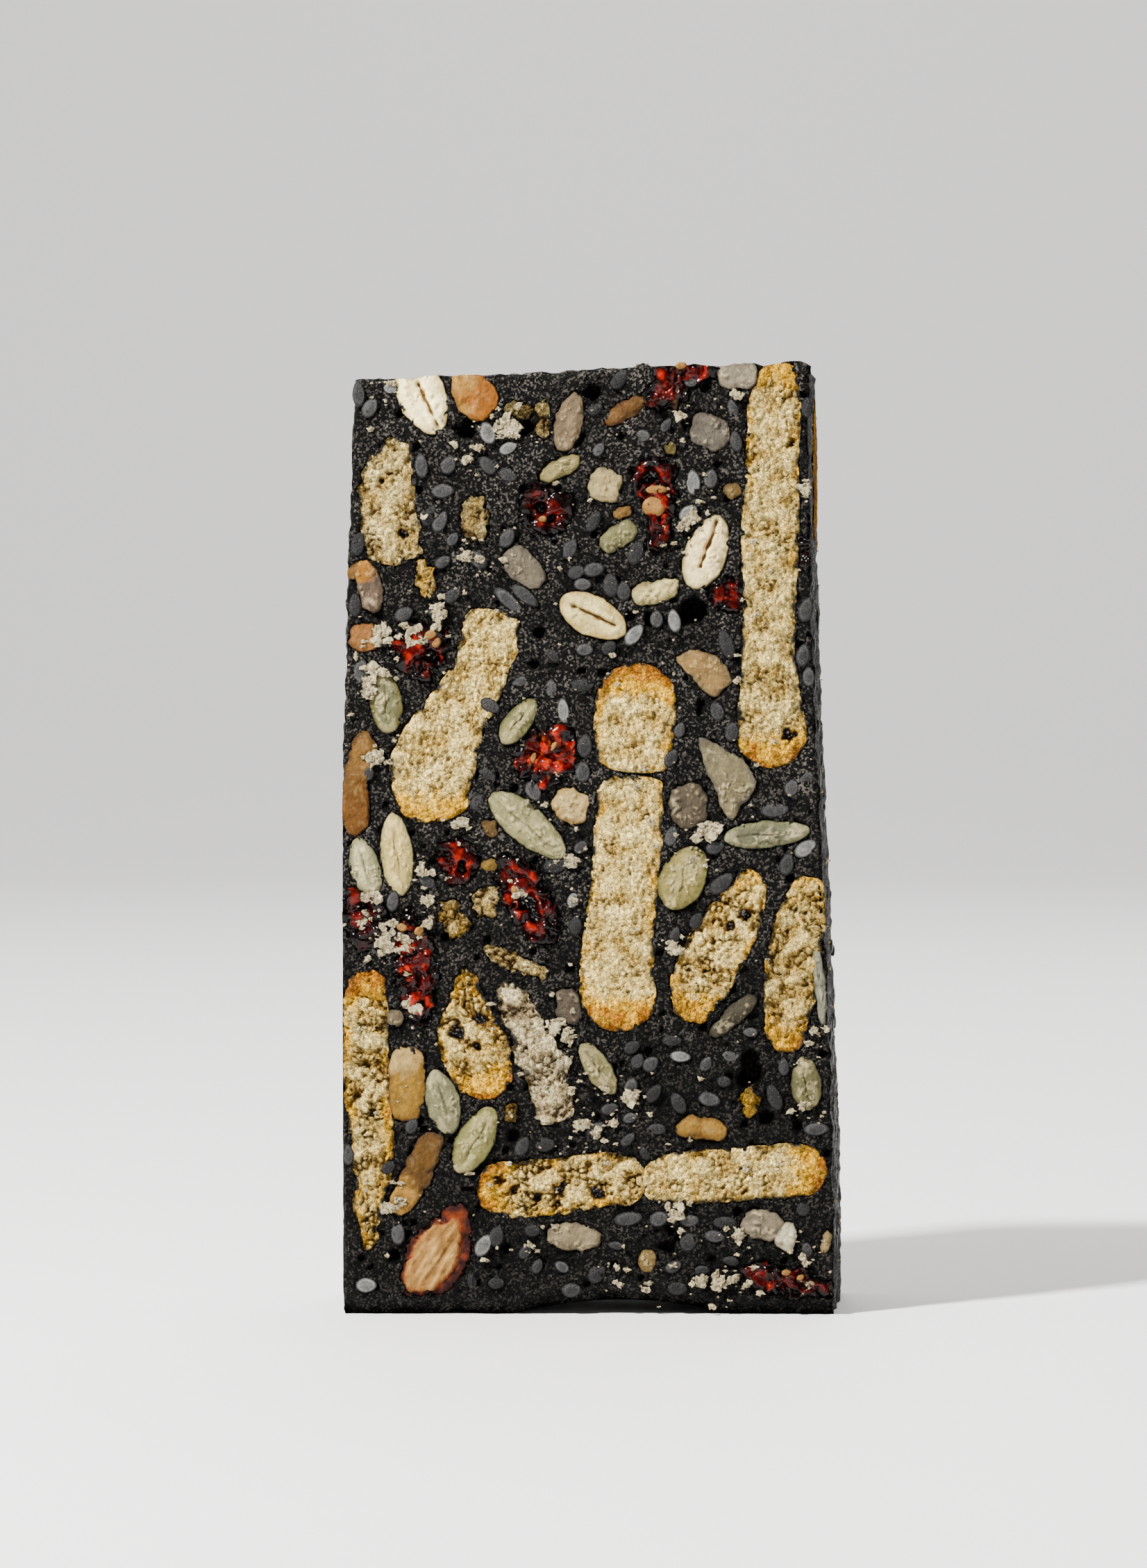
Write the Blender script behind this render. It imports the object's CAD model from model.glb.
import math
import random

import bmesh
import bpy
from mathutils import Matrix, Vector, noise
from mathutils.bvhtree import BVHTree


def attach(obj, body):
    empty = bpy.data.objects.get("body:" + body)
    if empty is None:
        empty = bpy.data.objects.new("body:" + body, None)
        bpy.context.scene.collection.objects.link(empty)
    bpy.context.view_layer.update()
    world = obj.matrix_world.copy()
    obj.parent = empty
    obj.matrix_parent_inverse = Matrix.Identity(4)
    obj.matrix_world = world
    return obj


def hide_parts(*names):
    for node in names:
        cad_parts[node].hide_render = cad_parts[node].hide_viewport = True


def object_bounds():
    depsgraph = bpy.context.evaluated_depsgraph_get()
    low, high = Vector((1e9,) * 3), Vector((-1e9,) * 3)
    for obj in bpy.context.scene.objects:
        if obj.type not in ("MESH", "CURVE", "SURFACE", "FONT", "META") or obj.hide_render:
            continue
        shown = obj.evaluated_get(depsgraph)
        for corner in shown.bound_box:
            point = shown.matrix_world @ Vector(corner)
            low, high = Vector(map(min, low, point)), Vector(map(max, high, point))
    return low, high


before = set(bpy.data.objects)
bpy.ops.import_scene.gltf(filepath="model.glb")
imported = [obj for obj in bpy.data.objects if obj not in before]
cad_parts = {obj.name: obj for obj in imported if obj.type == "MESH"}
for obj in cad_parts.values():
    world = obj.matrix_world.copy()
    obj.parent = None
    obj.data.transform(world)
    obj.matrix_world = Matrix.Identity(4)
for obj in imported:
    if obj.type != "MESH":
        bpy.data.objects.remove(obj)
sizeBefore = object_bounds()

# everything is drawn in millimetres as read off the photo, then moved to the frame and scaled to metres
mm = 0.001
frameShift = Vector((-0.255, 0, 0))
block = {
    "face": 10.0, "grid": 0.6, "wallGrid": 0.65, "crumbGrid": 0.18,
    "leftBelly": 27.15, "rightFoot": 26.15, "taper": 0.0285, "flare": 1.5,
    "topLeft": 100.55, "topRight": 102.6,
}
lowCorner, highCorner = (Vector(c) / mm for c in sizeBefore)


def leftEdge(z):
    return -block["leftBelly"] + 0.0003 * (z - 28) ** 2


def rightEdge(z, y):
    wave = 0.35 * math.sin(math.tau * z / 100)
    return block["rightFoot"] - block["taper"] * z + wave + block["flare"] * (y + 10) / 20


def topEdge(x):
    along = (x + 27) / 52
    edge = block["topLeft"] + (block["topRight"] - block["topLeft"]) * along
    edge += 0.28 * noise.noise(Vector((x * 0.4, 7.3, 0))) + 0.15 * noise.noise(Vector((x * 1.3, 2.3, 0)))
    edge += 0.5 * math.exp(-((x - 5.4) / 0.9) ** 2)
    overCorner = x - 22.2
    if overCorner > 0:
        edge -= 0.42 * overCorner ** 2
    return edge


def footEdge(x):
    arch = 1.55 * max(0.0, 1 - ((x - 3.2) / 11.8) ** 2)
    notch = 0.35 * max(0.0, 1 - ((x + 14.3) / 2.3) ** 2)
    return arch + notch


def mix(a, b, share):
    share = min(1.0, max(0.0, share))
    return [p + (q - p) * share for p, q in zip(a, b)]


def ramp(value, low, high):
    share = min(1.0, max(0.0, (value - low) / (high - low)))
    return share * share * (3 - 2 * share)


def grain(x, y, z, size, seed=0.0):
    return noise.noise(Vector((x / size + seed, y / size + seed * 1.7, z / size - seed)))


# distance to the nearest lump's middle, 0 on it
def lumps(x, z, size, seed=0.0):
    return noise.voronoi(Vector((x / size, seed, z / size)))[0][0]


# materials

def newMaterial(name):
    material = bpy.data.materials.new(name)
    material.use_nodes = True
    tree = material.node_tree
    shader = tree.nodes["Principled BSDF"]
    coords = tree.nodes.new("ShaderNodeTexCoord")
    tint = tree.nodes.new("ShaderNodeAttribute")
    tint.attribute_name = "tint"
    return material, tree, shader, coords.outputs["Object"], tint.outputs["Color"]


def noiseNode(tree, coords, scale, detail=3.0, rough=0.6):
    node = tree.nodes.new("ShaderNodeTexNoise")
    node.inputs["Scale"].default_value = scale
    node.inputs["Detail"].default_value = detail
    node.inputs["Roughness"].default_value = rough
    tree.links.new(coords, node.inputs["Vector"])
    return node.outputs["Fac"]


def rangeNode(tree, value, low, high, outLow, outHigh):
    node = tree.nodes.new("ShaderNodeMapRange")
    for name, number in zip(("From Min", "From Max", "To Min", "To Max"), (low, high, outLow, outHigh)):
        node.inputs[name].default_value = number
    tree.links.new(value, node.inputs["Value"])
    return node.outputs["Result"]


def blendNode(tree, kind, share, a, b):
    node = tree.nodes.new("ShaderNodeMix")
    node.data_type = "RGBA"
    node.blend_type = kind
    for socket, value in ((node.inputs["Factor"], share), (node.inputs["A"], a), (node.inputs["B"], b)):
        if isinstance(value, bpy.types.NodeSocket):
            tree.links.new(value, socket)
        else:
            socket.default_value = value
    return node.outputs["Result"]


def bumpNode(tree, shader, heights, strength, distance):
    normal = None
    for height, share in heights:
        node = tree.nodes.new("ShaderNodeBump")
        node.inputs["Strength"].default_value = strength * share
        node.inputs["Distance"].default_value = distance
        tree.links.new(height, node.inputs["Height"])
        if normal:
            tree.links.new(normal, node.inputs["Normal"])
        normal = node.outputs["Normal"]
    tree.links.new(normal, shader.inputs["Normal"])


def cellNode(tree, coords, scale, output="Distance"):
    node = tree.nodes.new("ShaderNodeTexVoronoi")
    node.inputs["Scale"].default_value = scale
    tree.links.new(coords, node.inputs["Vector"])
    return node.outputs[output]


# dark sugar foam: sandy, with single grey grains that catch the light
def makeNougatMaterial():
    material, tree, shader, coords, tint = newMaterial("nougat")
    fine = noiseNode(tree, coords, 3600, 5, 0.75)
    mid = noiseNode(tree, coords, 1100, 5, 0.65)
    broad = noiseNode(tree, coords, 260, 3, 0.6)
    grains = cellNode(tree, coords, 4800)
    chance = cellNode(tree, coords, 4800, "Color")
    colour = blendNode(tree, "MULTIPLY", 1.0, tint, rangeNode(tree, mid, 0.36, 0.64, 0.3, 1.7))
    sandy = rangeNode(tree, broad, 0.35, 0.65, 0.6, 1.0)
    picked = blendNode(tree, "MULTIPLY", 1.0, rangeNode(tree, chance, 0.64, 0.71, 0.0, 1.0), sandy)
    lit = blendNode(tree, "MULTIPLY", 1.0, tint, (44, 42, 39, 1))
    colour = blendNode(tree, "MIX", picked, colour, lit)
    tree.links.new(colour, shader.inputs["Base Color"])
    tree.links.new(rangeNode(tree, chance, 0.4, 0.62, 0.5, 0.2), shader.inputs["Roughness"])
    shader.inputs["Specular IOR Level"].default_value = 0.08
    bumpNode(tree, shader, ((mid, 1.0), (grains, 0.9), (fine, 1.0)), 1.0, 0.0007)
    return material


# open crumb: small granules with dark creases between them
def makeCrackerMaterial():
    material, tree, shader, coords, tint = newMaterial("cracker")
    granules = cellNode(tree, coords, 2300)
    chance = cellNode(tree, coords, 2300, "Color")
    finer = cellNode(tree, coords, 5200)
    finerChance = cellNode(tree, coords, 5200, "Color")
    fine = noiseNode(tree, coords, 3000, 4, 0.7)
    colour = blendNode(tree, "MULTIPLY", 1.0, tint, rangeNode(tree, granules, 0.2, 0.8, 1.25, 0.7))
    colour = blendNode(tree, "MULTIPLY", 1.0, colour, rangeNode(tree, chance, 0.3, 0.7, 0.72, 1.4))
    colour = blendNode(tree, "MULTIPLY", 1.0, colour, rangeNode(tree, finerChance, 0.3, 0.7, 0.75, 1.3))
    crease = blendNode(tree, "MULTIPLY", 1.0, colour, (0.35, 0.22, 0.12, 1))
    colour = blendNode(tree, "MIX", rangeNode(tree, fine, 0.36, 0.27, 0.0, 0.8), colour, crease)
    tree.links.new(colour, shader.inputs["Base Color"])
    shader.inputs["Roughness"].default_value = 0.8
    shader.inputs["Specular IOR Level"].default_value = 0.06
    shader.inputs["Subsurface Weight"].default_value = 0.05
    shader.inputs["Subsurface Radius"].default_value = (0.0007, 0.0005, 0.0002)
    turned = rangeNode(tree, granules, 0.0, 1.0, 1.0, 0.0)
    finerTurned = rangeNode(tree, finer, 0.0, 1.0, 1.0, 0.0)
    bumpNode(tree, shader, ((turned, 1.0), (finerTurned, 0.6), (fine, 0.8)), 1.0, 0.0004)
    return material


def makeFoodMaterial(name, settings):
    material, tree, shader, coords, tint = newMaterial(name)
    fine = noiseNode(tree, coords, settings["grainScale"], 5, 0.7)
    broad = noiseNode(tree, coords, settings["grainScale"] * 0.3, 3, 0.6)
    mottle = settings["mottle"]
    colour = tint
    for pattern in (fine, broad):
        speckle = rangeNode(tree, pattern, 0.3, 0.7, 1 - mottle, 1 + mottle)
        colour = blendNode(tree, "MULTIPLY", 1.0, colour, speckle)
    tree.links.new(colour, shader.inputs["Base Color"])
    rough = settings["rough"]
    tree.links.new(rangeNode(tree, fine, 0.3, 0.7, rough * 0.75, rough * 1.3), shader.inputs["Roughness"])
    shader.inputs["Specular IOR Level"].default_value = settings["shine"]
    shader.inputs["Coat Weight"].default_value = settings.get("coat", 0.0)
    shader.inputs["Coat Roughness"].default_value = 0.06
    shader.inputs["Subsurface Weight"].default_value = settings.get("glow", 0.0)
    shader.inputs["Subsurface Radius"].default_value = (0.0008, 0.0005, 0.0002)
    shader.inputs["Subsurface Scale"].default_value = 1.0
    bumpNode(tree, shader, ((broad, 0.8), (fine, 1.0)), settings["bump"], 0.0003)
    return material


nougatMaterial = makeNougatMaterial()
crackerMaterial = makeCrackerMaterial()
foods = {
    "pumpkin_seed": {"grainScale": 2600, "mottle": 0.2, "rough": 0.45, "bump": 0.8, "shine": 0.18, "glow": 0.05},
    "nut": {"grainScale": 2600, "mottle": 0.22, "rough": 0.45, "bump": 0.8, "shine": 0.12, "glow": 0.04},
    "cranberry": {"grainScale": 1900, "mottle": 0.5, "rough": 0.3, "bump": 0.6, "shine": 0.02, "coat": 0.3},
    "sesame": {"grainScale": 4200, "mottle": 0.35, "rough": 0.3, "bump": 0.6, "shine": 0.2},
    "crumb": {"grainScale": 4200, "mottle": 0.25, "rough": 0.9, "bump": 1.0, "shine": 0.1, "glow": 0.06},
}
seedMaterial, nutMaterial, berryMaterial, sesameMaterial, crumbMaterial = (
    makeFoodMaterial(name, settings) for name, settings in foods.items())


# finished pieces

def finishPiece(bm, name, material, nodes=(), smooth=True):
    inside = 0.02
    for v in bm.verts:
        v.co += frameShift
        for axis in range(3):
            low, high = lowCorner[axis] + inside, highCorner[axis] - inside
            v.co[axis] = min(high, max(low, v.co[axis]))
    bmesh.ops.recalc_face_normals(bm, faces=bm.faces)
    bmesh.ops.scale(bm, vec=(mm, mm, mm), verts=bm.verts)
    for face in bm.faces:
        face.smooth = smooth
    mesh = bpy.data.meshes.new(name)
    bm.to_mesh(mesh)
    bm.free()
    mesh.materials.append(material)
    piece = bpy.data.objects.new(name, mesh)
    bpy.context.scene.collection.objects.link(piece)
    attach(piece, "root")
    if nodes:
        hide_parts(*nodes)
    return piece


def newTinted():
    bm = bmesh.new()
    bm.verts.layers.float_color.new("tint")
    return bm


def mergeInto(target, bm):
    mesh = bpy.data.meshes.new("part")
    bm.to_mesh(mesh)
    bm.free()
    target.from_mesh(mesh)
    bpy.data.meshes.remove(mesh)


# a grid with a second one behind it and cuts in the walls between. z is 0 in front and 1 behind
def drawSlab(wide, tall, cuts):
    bm = bmesh.new()
    bmesh.ops.create_grid(bm, x_segments=wide, y_segments=tall, size=0.5)
    front = set(bm.verts)
    bmesh.ops.extrude_face_region(bm, geom=list(bm.faces), use_keep_orig=True)
    for v in bm.verts:
        v.co.z = 0.0 if v in front else 1.0
    walls = [e for e in bm.edges if abs(e.verts[0].co.z - e.verts[1].co.z) > 0.5]
    bmesh.ops.subdivide_edges(bm, edges=walls, cuts=cuts)
    return bm


# crackers: (x, z, width) along the middle line. toast is how brown the start, the end and the sides are,
# back is how far the rear end is shifted and shrunk, cap and endCap how round the ends are, open how torn
crackers = {
    "cracker_top_left": {
        "line": ((-21.0, 93.7, 3.0), (-21.3, 91.8, 4.4), (-21.9, 90.2, 5.7), (-21.8, 86.0, 6.1),
                 (-21.4, 81.6, 5.9)),
        "toast": (0.0, 0.0, 0.12), "rough": 0.5, "back": (0.4, -0.5, 0.92),
        "cap": 0.3, "open": 0.3, "grey": 0.08, "tone": 0.8, "seed": 1},
    "cracker_slanted": {
        "line": ((-17.3, 55.4, 7.6), (-17.1, 58.5, 9.2), (-15.9, 62.0, 8.3), (-13.5, 66.4, 6.2),
                 (-11.5, 70.6, 6.2), (-10.7, 74.0, 6.2)),
        "toast": (0.7, 0.0, 0.25), "rough": 0.35, "back": (-0.5, 0.6, 0.94),
        "cap": 0.6, "open": 0.1, "grey": 0.0, "seed": 2},
    "cracker_right_tall": {
        "line": ((19.9, 100.6, 4.4), (19.5, 97.0, 5.7), (19.3, 91.0, 5.7), (19.1, 85.0, 6.2), (19.0, 76.0, 5.7),
                 (18.9, 70.0, 6.0), (19.3, 62.4, 7.5)),
        "toast": (0.7, 0.95, 0.3), "rough": 0.2, "back": (0.3, 0.4, 0.97),
        "cap": 0.92, "open": 0.15, "grey": 0.0, "tone": 0.86, "seed": 3},
    "cracker_middle_upper": {
        "line": ((4.7, 66.2, 8.5), (4.6, 63.5, 8.7), (4.3, 59.4, 7.7)),
        "toast": (1.1, 0.0, 0.55), "rough": 0.25, "back": (-0.4, 0.3, 0.95),
        "cap": 0.92, "endCap": 0.25, "open": 0.1, "grey": 0.0, "seed": 4},
    "cracker_middle_lower": {
        "line": ((4.1, 57.3, 6.9), (3.8, 50.0, 7.4), (3.2, 44.0, 7.4), (2.7, 38.5, 7.9), (2.8, 34.4, 8.1)),
        "toast": (0.1, 1.0, 0.4), "rough": 0.25, "back": (0.2, -0.4, 0.97),
        "cap": 0.25, "endCap": 0.92, "open": 0.1, "grey": 0.0, "seed": 5},
    "cracker_left_low": {
        "line": ((-24.3, 35.6, 4.0), (-24.4, 32.0, 4.9), (-24.2, 24.0, 4.8), (-23.6, 17.0, 4.5),
                 (-24.1, 11.5, 2.9), (-24.0, 7.6, 1.8)),
        "toast": (1.1, 0.1, 0.6), "rough": 0.4, "back": (0.3, 0.2, 0.96),
        "cap": 0.92, "open": 0.55, "grey": 0.0, "tone": 0.9, "seed": 6},
    "cracker_wedge": {
        "line": ((-13.5, 36.6, 1.9), (-13.4, 33.0, 4.8), (-13.1, 29.5, 7.3), (-11.6, 26.2, 6.4)),
        "toast": (0.2, 0.85, 0.45), "rough": 0.35, "back": (0.3, 0.8, 0.9),
        "cap": 0.92, "open": 0.6, "grey": 0.0, "seed": 7},
    "cracker_crumbled": {
        "line": ((-9.3, 35.2, 2.4), (-7.9, 32.6, 3.8), (-6.5, 29.4, 4.4), (-4.9, 26.0, 4.6), (-4.1, 21.6, 4.2)),
        "toast": (0.0, 0.0, 0.0), "rough": 0.55, "back": (0.5, -0.3, 0.92),
        "cap": 0.5, "open": 0.5, "grey": 0.5, "seed": 8},
    "cracker_right_slanted": {
        "line": ((17.0, 46.4, 3.4), (15.9, 43.8, 5.5), (13.6, 39.5, 6.5), (11.4, 35.6, 6.2), (11.0, 33.6, 4.6)),
        "toast": (0.3, 0.8, 0.4), "rough": 0.3, "back": (-0.3, 0.5, 0.93),
        "cap": 0.92, "open": 0.45, "grey": 0.0, "seed": 9},
    "cracker_right_low": {
        "line": ((23.3, 45.2, 4.6), (22.3, 42.0, 5.5), (21.3, 36.0, 5.8), (20.8, 31.2, 4.6), (20.9, 30.0, 3.8)),
        "toast": (0.15, 0.6, 0.4), "rough": 0.3, "back": (0.4, -0.4, 0.96),
        "cap": 0.92, "open": 0.45, "grey": 0.0, "tone": 0.85, "seed": 10},
    "cracker_bottom_left": {
        "line": ((-9.7, 13.6, 5.6), (-6.5, 13.5, 6.3), (-3.0, 14.0, 6.0), (1.5, 14.6, 5.9), (3.6, 14.4, 5.2)),
        "toast": (0.8, 0.0, 0.55), "rough": 0.3, "back": (-0.4, 0.4, 0.95),
        "cap": 0.92, "open": 0.6, "grey": 0.0, "seed": 11},
    "cracker_bottom_right": {
        "line": ((7.4, 14.4, 4.8), (10.0, 14.9, 5.6), (16.0, 15.2, 5.8), (21.0, 15.6, 5.8), (22.8, 15.6, 5.4)),
        "toast": (0.1, 0.95, 0.35), "rough": 0.2, "back": (0.2, -0.3, 0.97),
        "cap": 0.92, "open": 0.25, "grey": 0.0, "seed": 12},
}
# open holes in the crumb: x, z, radius, depth
crackerHoles = (
    (21.1, 62.5, 0.7, 1.6), (21.4, 93.8, 0.5, 0.8), (-14.5, 30.5, 0.9, 1.1), (-12.0, 31.8, 0.7, 1.0),
    (-12.4, 29.0, 0.6, 0.8), (16.5, 43.2, 0.8, 1.1), (14.9, 41.9, 0.6, 0.8), (-3.6, 13.3, 0.9, 1.0),
    (0.6, 13.1, 0.8, 1.2), (-10.0, 14.5, 0.8, 1.0), (-8.4, 13.6, 0.6, 0.9), (16.5, 13.3, 0.4, 0.7),
    (-5.9, 12.6, 0.5, 0.8), (-24.2, 27.0, 0.5, 0.7), (-23.7, 21.8, 0.4, 0.6), (3.4, 31.4, 0.4, 0.5),
    (-20.2, 84.0, 0.6, 0.9), (-22.6, 89.8, 0.4, 0.6), (12.2, 37.1, 0.4, 0.6), (4.0, 47.6, 0.4, 0.5),
)


# a spot and the half width there, on a smooth curve through the points. along counts the points from 0
def lineAt(points, along):
    leg = min(len(points) - 2, max(0, int(along)))
    t = along - leg
    a = points[max(0, leg - 1)]
    b, c = points[leg], points[leg + 1]
    d = points[min(len(points) - 1, leg + 2)]
    spot = []
    for p, q, r, s in zip(a, b, c, d):
        spot.append(q + 0.5 * t * (r - p + t * (2 * p - 5 * q + 4 * r - s + t * (3 * (q - r) + s - p))))
    return Vector((spot[0], spot[1])), spot[2] / 2


# even steps along the middle line with round ends. each step gives its middle, the way across,
# the half width, and how far it is from the start and from the end
def crackerStations(shape):
    points = shape["line"]
    dense = [lineAt(points, i / 24) for i in range(24 * (len(points) - 1) + 1)]
    lengths = [0.0]
    for (a, _), (b, _) in zip(dense, dense[1:]):
        lengths.append(lengths[-1] + (b - a).length)
    capStart, capEnd = dense[0][1] * shape["cap"], dense[-1][1] * shape.get("endCap", shape["cap"])
    total = capStart + lengths[-1] + capEnd
    count = int(total / block["crumbGrid"])
    stations = []
    for i in range(count + 1):
        travelled = total * i / count
        along = min(lengths[-1], max(0.0, travelled - capStart))
        index = next((k for k in range(1, len(lengths)) if lengths[k] >= along), len(lengths) - 1)
        onward = (dense[index][0] - dense[index - 1][0]).normalized()
        share = (along - lengths[index - 1]) / (lengths[index] - lengths[index - 1])
        middle = dense[index - 1][0].lerp(dense[index][0], share)
        half = dense[index - 1][1] + (dense[index][1] - dense[index - 1][1]) * share
        past = travelled - capStart - along
        middle = middle + onward * past
        cap = capStart if past < 0 else capEnd
        half *= math.sqrt(max(0.012, 1 - (abs(past) / cap) ** 2))
        stations.append((middle, Vector((-onward.y, onward.x)), half, travelled, total - travelled))
    return stations


def crumbHeight(x, z, seed, openness=0.0):
    warp = 0.35 * grain(x, seed, z, 0.9, 6.0)
    near, second = noise.voronoi(Vector((x / 0.7 + warp, seed, z / 0.7 - warp)))[0][:2]
    crack = 1 - ramp(second - near, 0.0, 0.42)
    mask = ramp(grain(x, seed, z, 1.9, 3.0), -0.1 - 0.35 * openness, 0.35 - 0.3 * openness)
    granule = 0.5 - lumps(x, z, 0.62, seed)
    height = 0.34 * granule + 0.2 * grain(x, seed, z, 0.34) + 0.16 * grain(x, seed, z, 2.4, 2.0)
    height -= (0.22 + 0.5 * openness) * crack * mask
    height -= 0.6 * openness * ramp(grain(x, seed, z, 1.1, 5.0) + 0.4 * grain(x, seed, z, 0.45, 8.0), 0.3, 0.65)
    for holeX, holeZ, radius, depth in crackerHoles:
        reach = math.hypot(x - holeX, z - holeZ) / radius + 0.6 * grain(x, seed, z, 0.6, 9.0)
        if reach < 1.6:
            height -= depth * (1 - ramp(reach, 0.3, 1.3))
    return height


def crackerTint(height, toast, x, z, seed, grey=0.0, tone=1.0):
    pale = 0.55 + 0.8 * grain(x, seed, z, 1.7, 8.0) + 1.5 * height
    crumb = mix((0.39, 0.25, 0.058), (0.78, 0.61, 0.225), pale)
    crumb = mix(crumb, (0.12, 0.06, 0.012), ramp(-height, 0.2, 0.6))
    crumb = mix(crumb, (0.02, 0.01, 0.002), ramp(-height, 0.5, 1.1))
    crumb = mix(crumb, [share * sum(crumb) for share in (0.285, 0.275, 0.235)], grey)
    browned = ramp(toast + 0.6 * grain(x, seed, z, 1.3, 3.0), 0.5, 1.25)
    golden = mix((0.62, 0.33, 0.012), (0.3, 0.1, 0.001), browned)
    golden = mix(golden, (0.06, 0.02, 0.002), ramp(-height, 0.2, 0.8))
    return [tone * c for c in mix(crumb, golden, ramp(toast, 0.1, 0.6) * 0.97)]


def drawCracker(shape):
    stations = crackerStations(shape)
    widest = max(half for _, _, half, _, _ in stations)
    columns = max(8, int(2 * widest / block["crumbGrid"]))
    centre = sum((s[0] for s in stations), Vector((0, 0))) / len(stations)
    wallDepths = (0, 0.35, 1.2, 4.5, 10, 15.5, 18.8, 19.65, 20)
    cuts = len(wallDepths) - 2
    bm = drawSlab(len(stations) - 1, columns, cuts)
    tint = bm.verts.layers.float_color.new("tint")
    dx, dz, shrink = shape["back"]
    toastStart, toastEnd, toastSide = shape["toast"]
    seed = shape["seed"] * 5.3
    for v in bm.verts:
        share = v.co.z
        station = round((v.co.x + 0.5) * (len(stations) - 1))
        across = max(-1.0, min(1.0, v.co.y * 2))
        middle, side, half, fromStart, fromEnd = stations[station]
        spot = middle + side * half * across
        rim = half * (1 - abs(across))
        rimDistance = min(rim, fromStart, fromEnd)
        ragged = shape["rough"]
        push = Vector((grain(spot.x, seed, spot.y, 2.2, 1.0), grain(spot.x, seed, spot.y, 2.2, 9.0))) * ragged
        push += Vector((grain(spot.x, seed, spot.y, 0.7, 2.0),
                        grain(spot.x, seed, spot.y, 0.7, 6.0))) * ragged * 0.7
        spot = spot + push
        height = crumbHeight(spot.x, spot.y, seed, shape["open"])
        toast = toastSide * (1 - ramp(rim, 0.0, 2.0)) * (0.75 + 0.9 * grain(spot.x, seed, spot.y, 2.6, 4.0))
        toast += toastStart * (1 - ramp(fromStart, 0.2, 5.2)) + toastEnd * (1 - ramp(fromEnd, 0.2, 5.2))
        toast += 0.25 * grain(spot.x, seed, spot.y, 0.9, 7.0)
        height *= 1 - 0.55 * ramp(toast, 0.3, 0.8)
        onFace = share in (0.0, 1.0)
        y = -block["face"] + wallDepths[round(share * (cuts + 1))]
        if onFace:
            sink = 0.16 * (1 - ramp(rimDistance, 0.0, 0.5)) + 0.1
            y += (sink - height * ramp(rimDistance, -0.05, 0.35)) * (1 if share == 0 else -1)
        if share > 0:
            spot = spot + ((centre - spot) * (1 - shrink) + Vector((dx, dz))) * share
        if not onFace:
            toast = 0.8
            height = 0.1
        v.co = (spot.x, y, spot.y)
        colour = crackerTint(height, toast, spot.x, spot.y, seed, shape["grey"], shape.get("tone", 1.0))
        smear = (1 - ramp(rimDistance, 0.05, 0.6)) * ramp(grain(spot.x, seed, spot.y, 1.1, 14.0), -0.2, 0.25)
        dust = (1 - ramp(rimDistance, 0.2, 2.0)) * ramp(grain(spot.x, seed, spot.y, 2.8, 16.0), -0.1, 0.4)
        v[tint] = (*mix(colour, (0.016, 0.016, 0.015), 0.9 * smear + 0.45 * dust), 1)
    return bm


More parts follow.
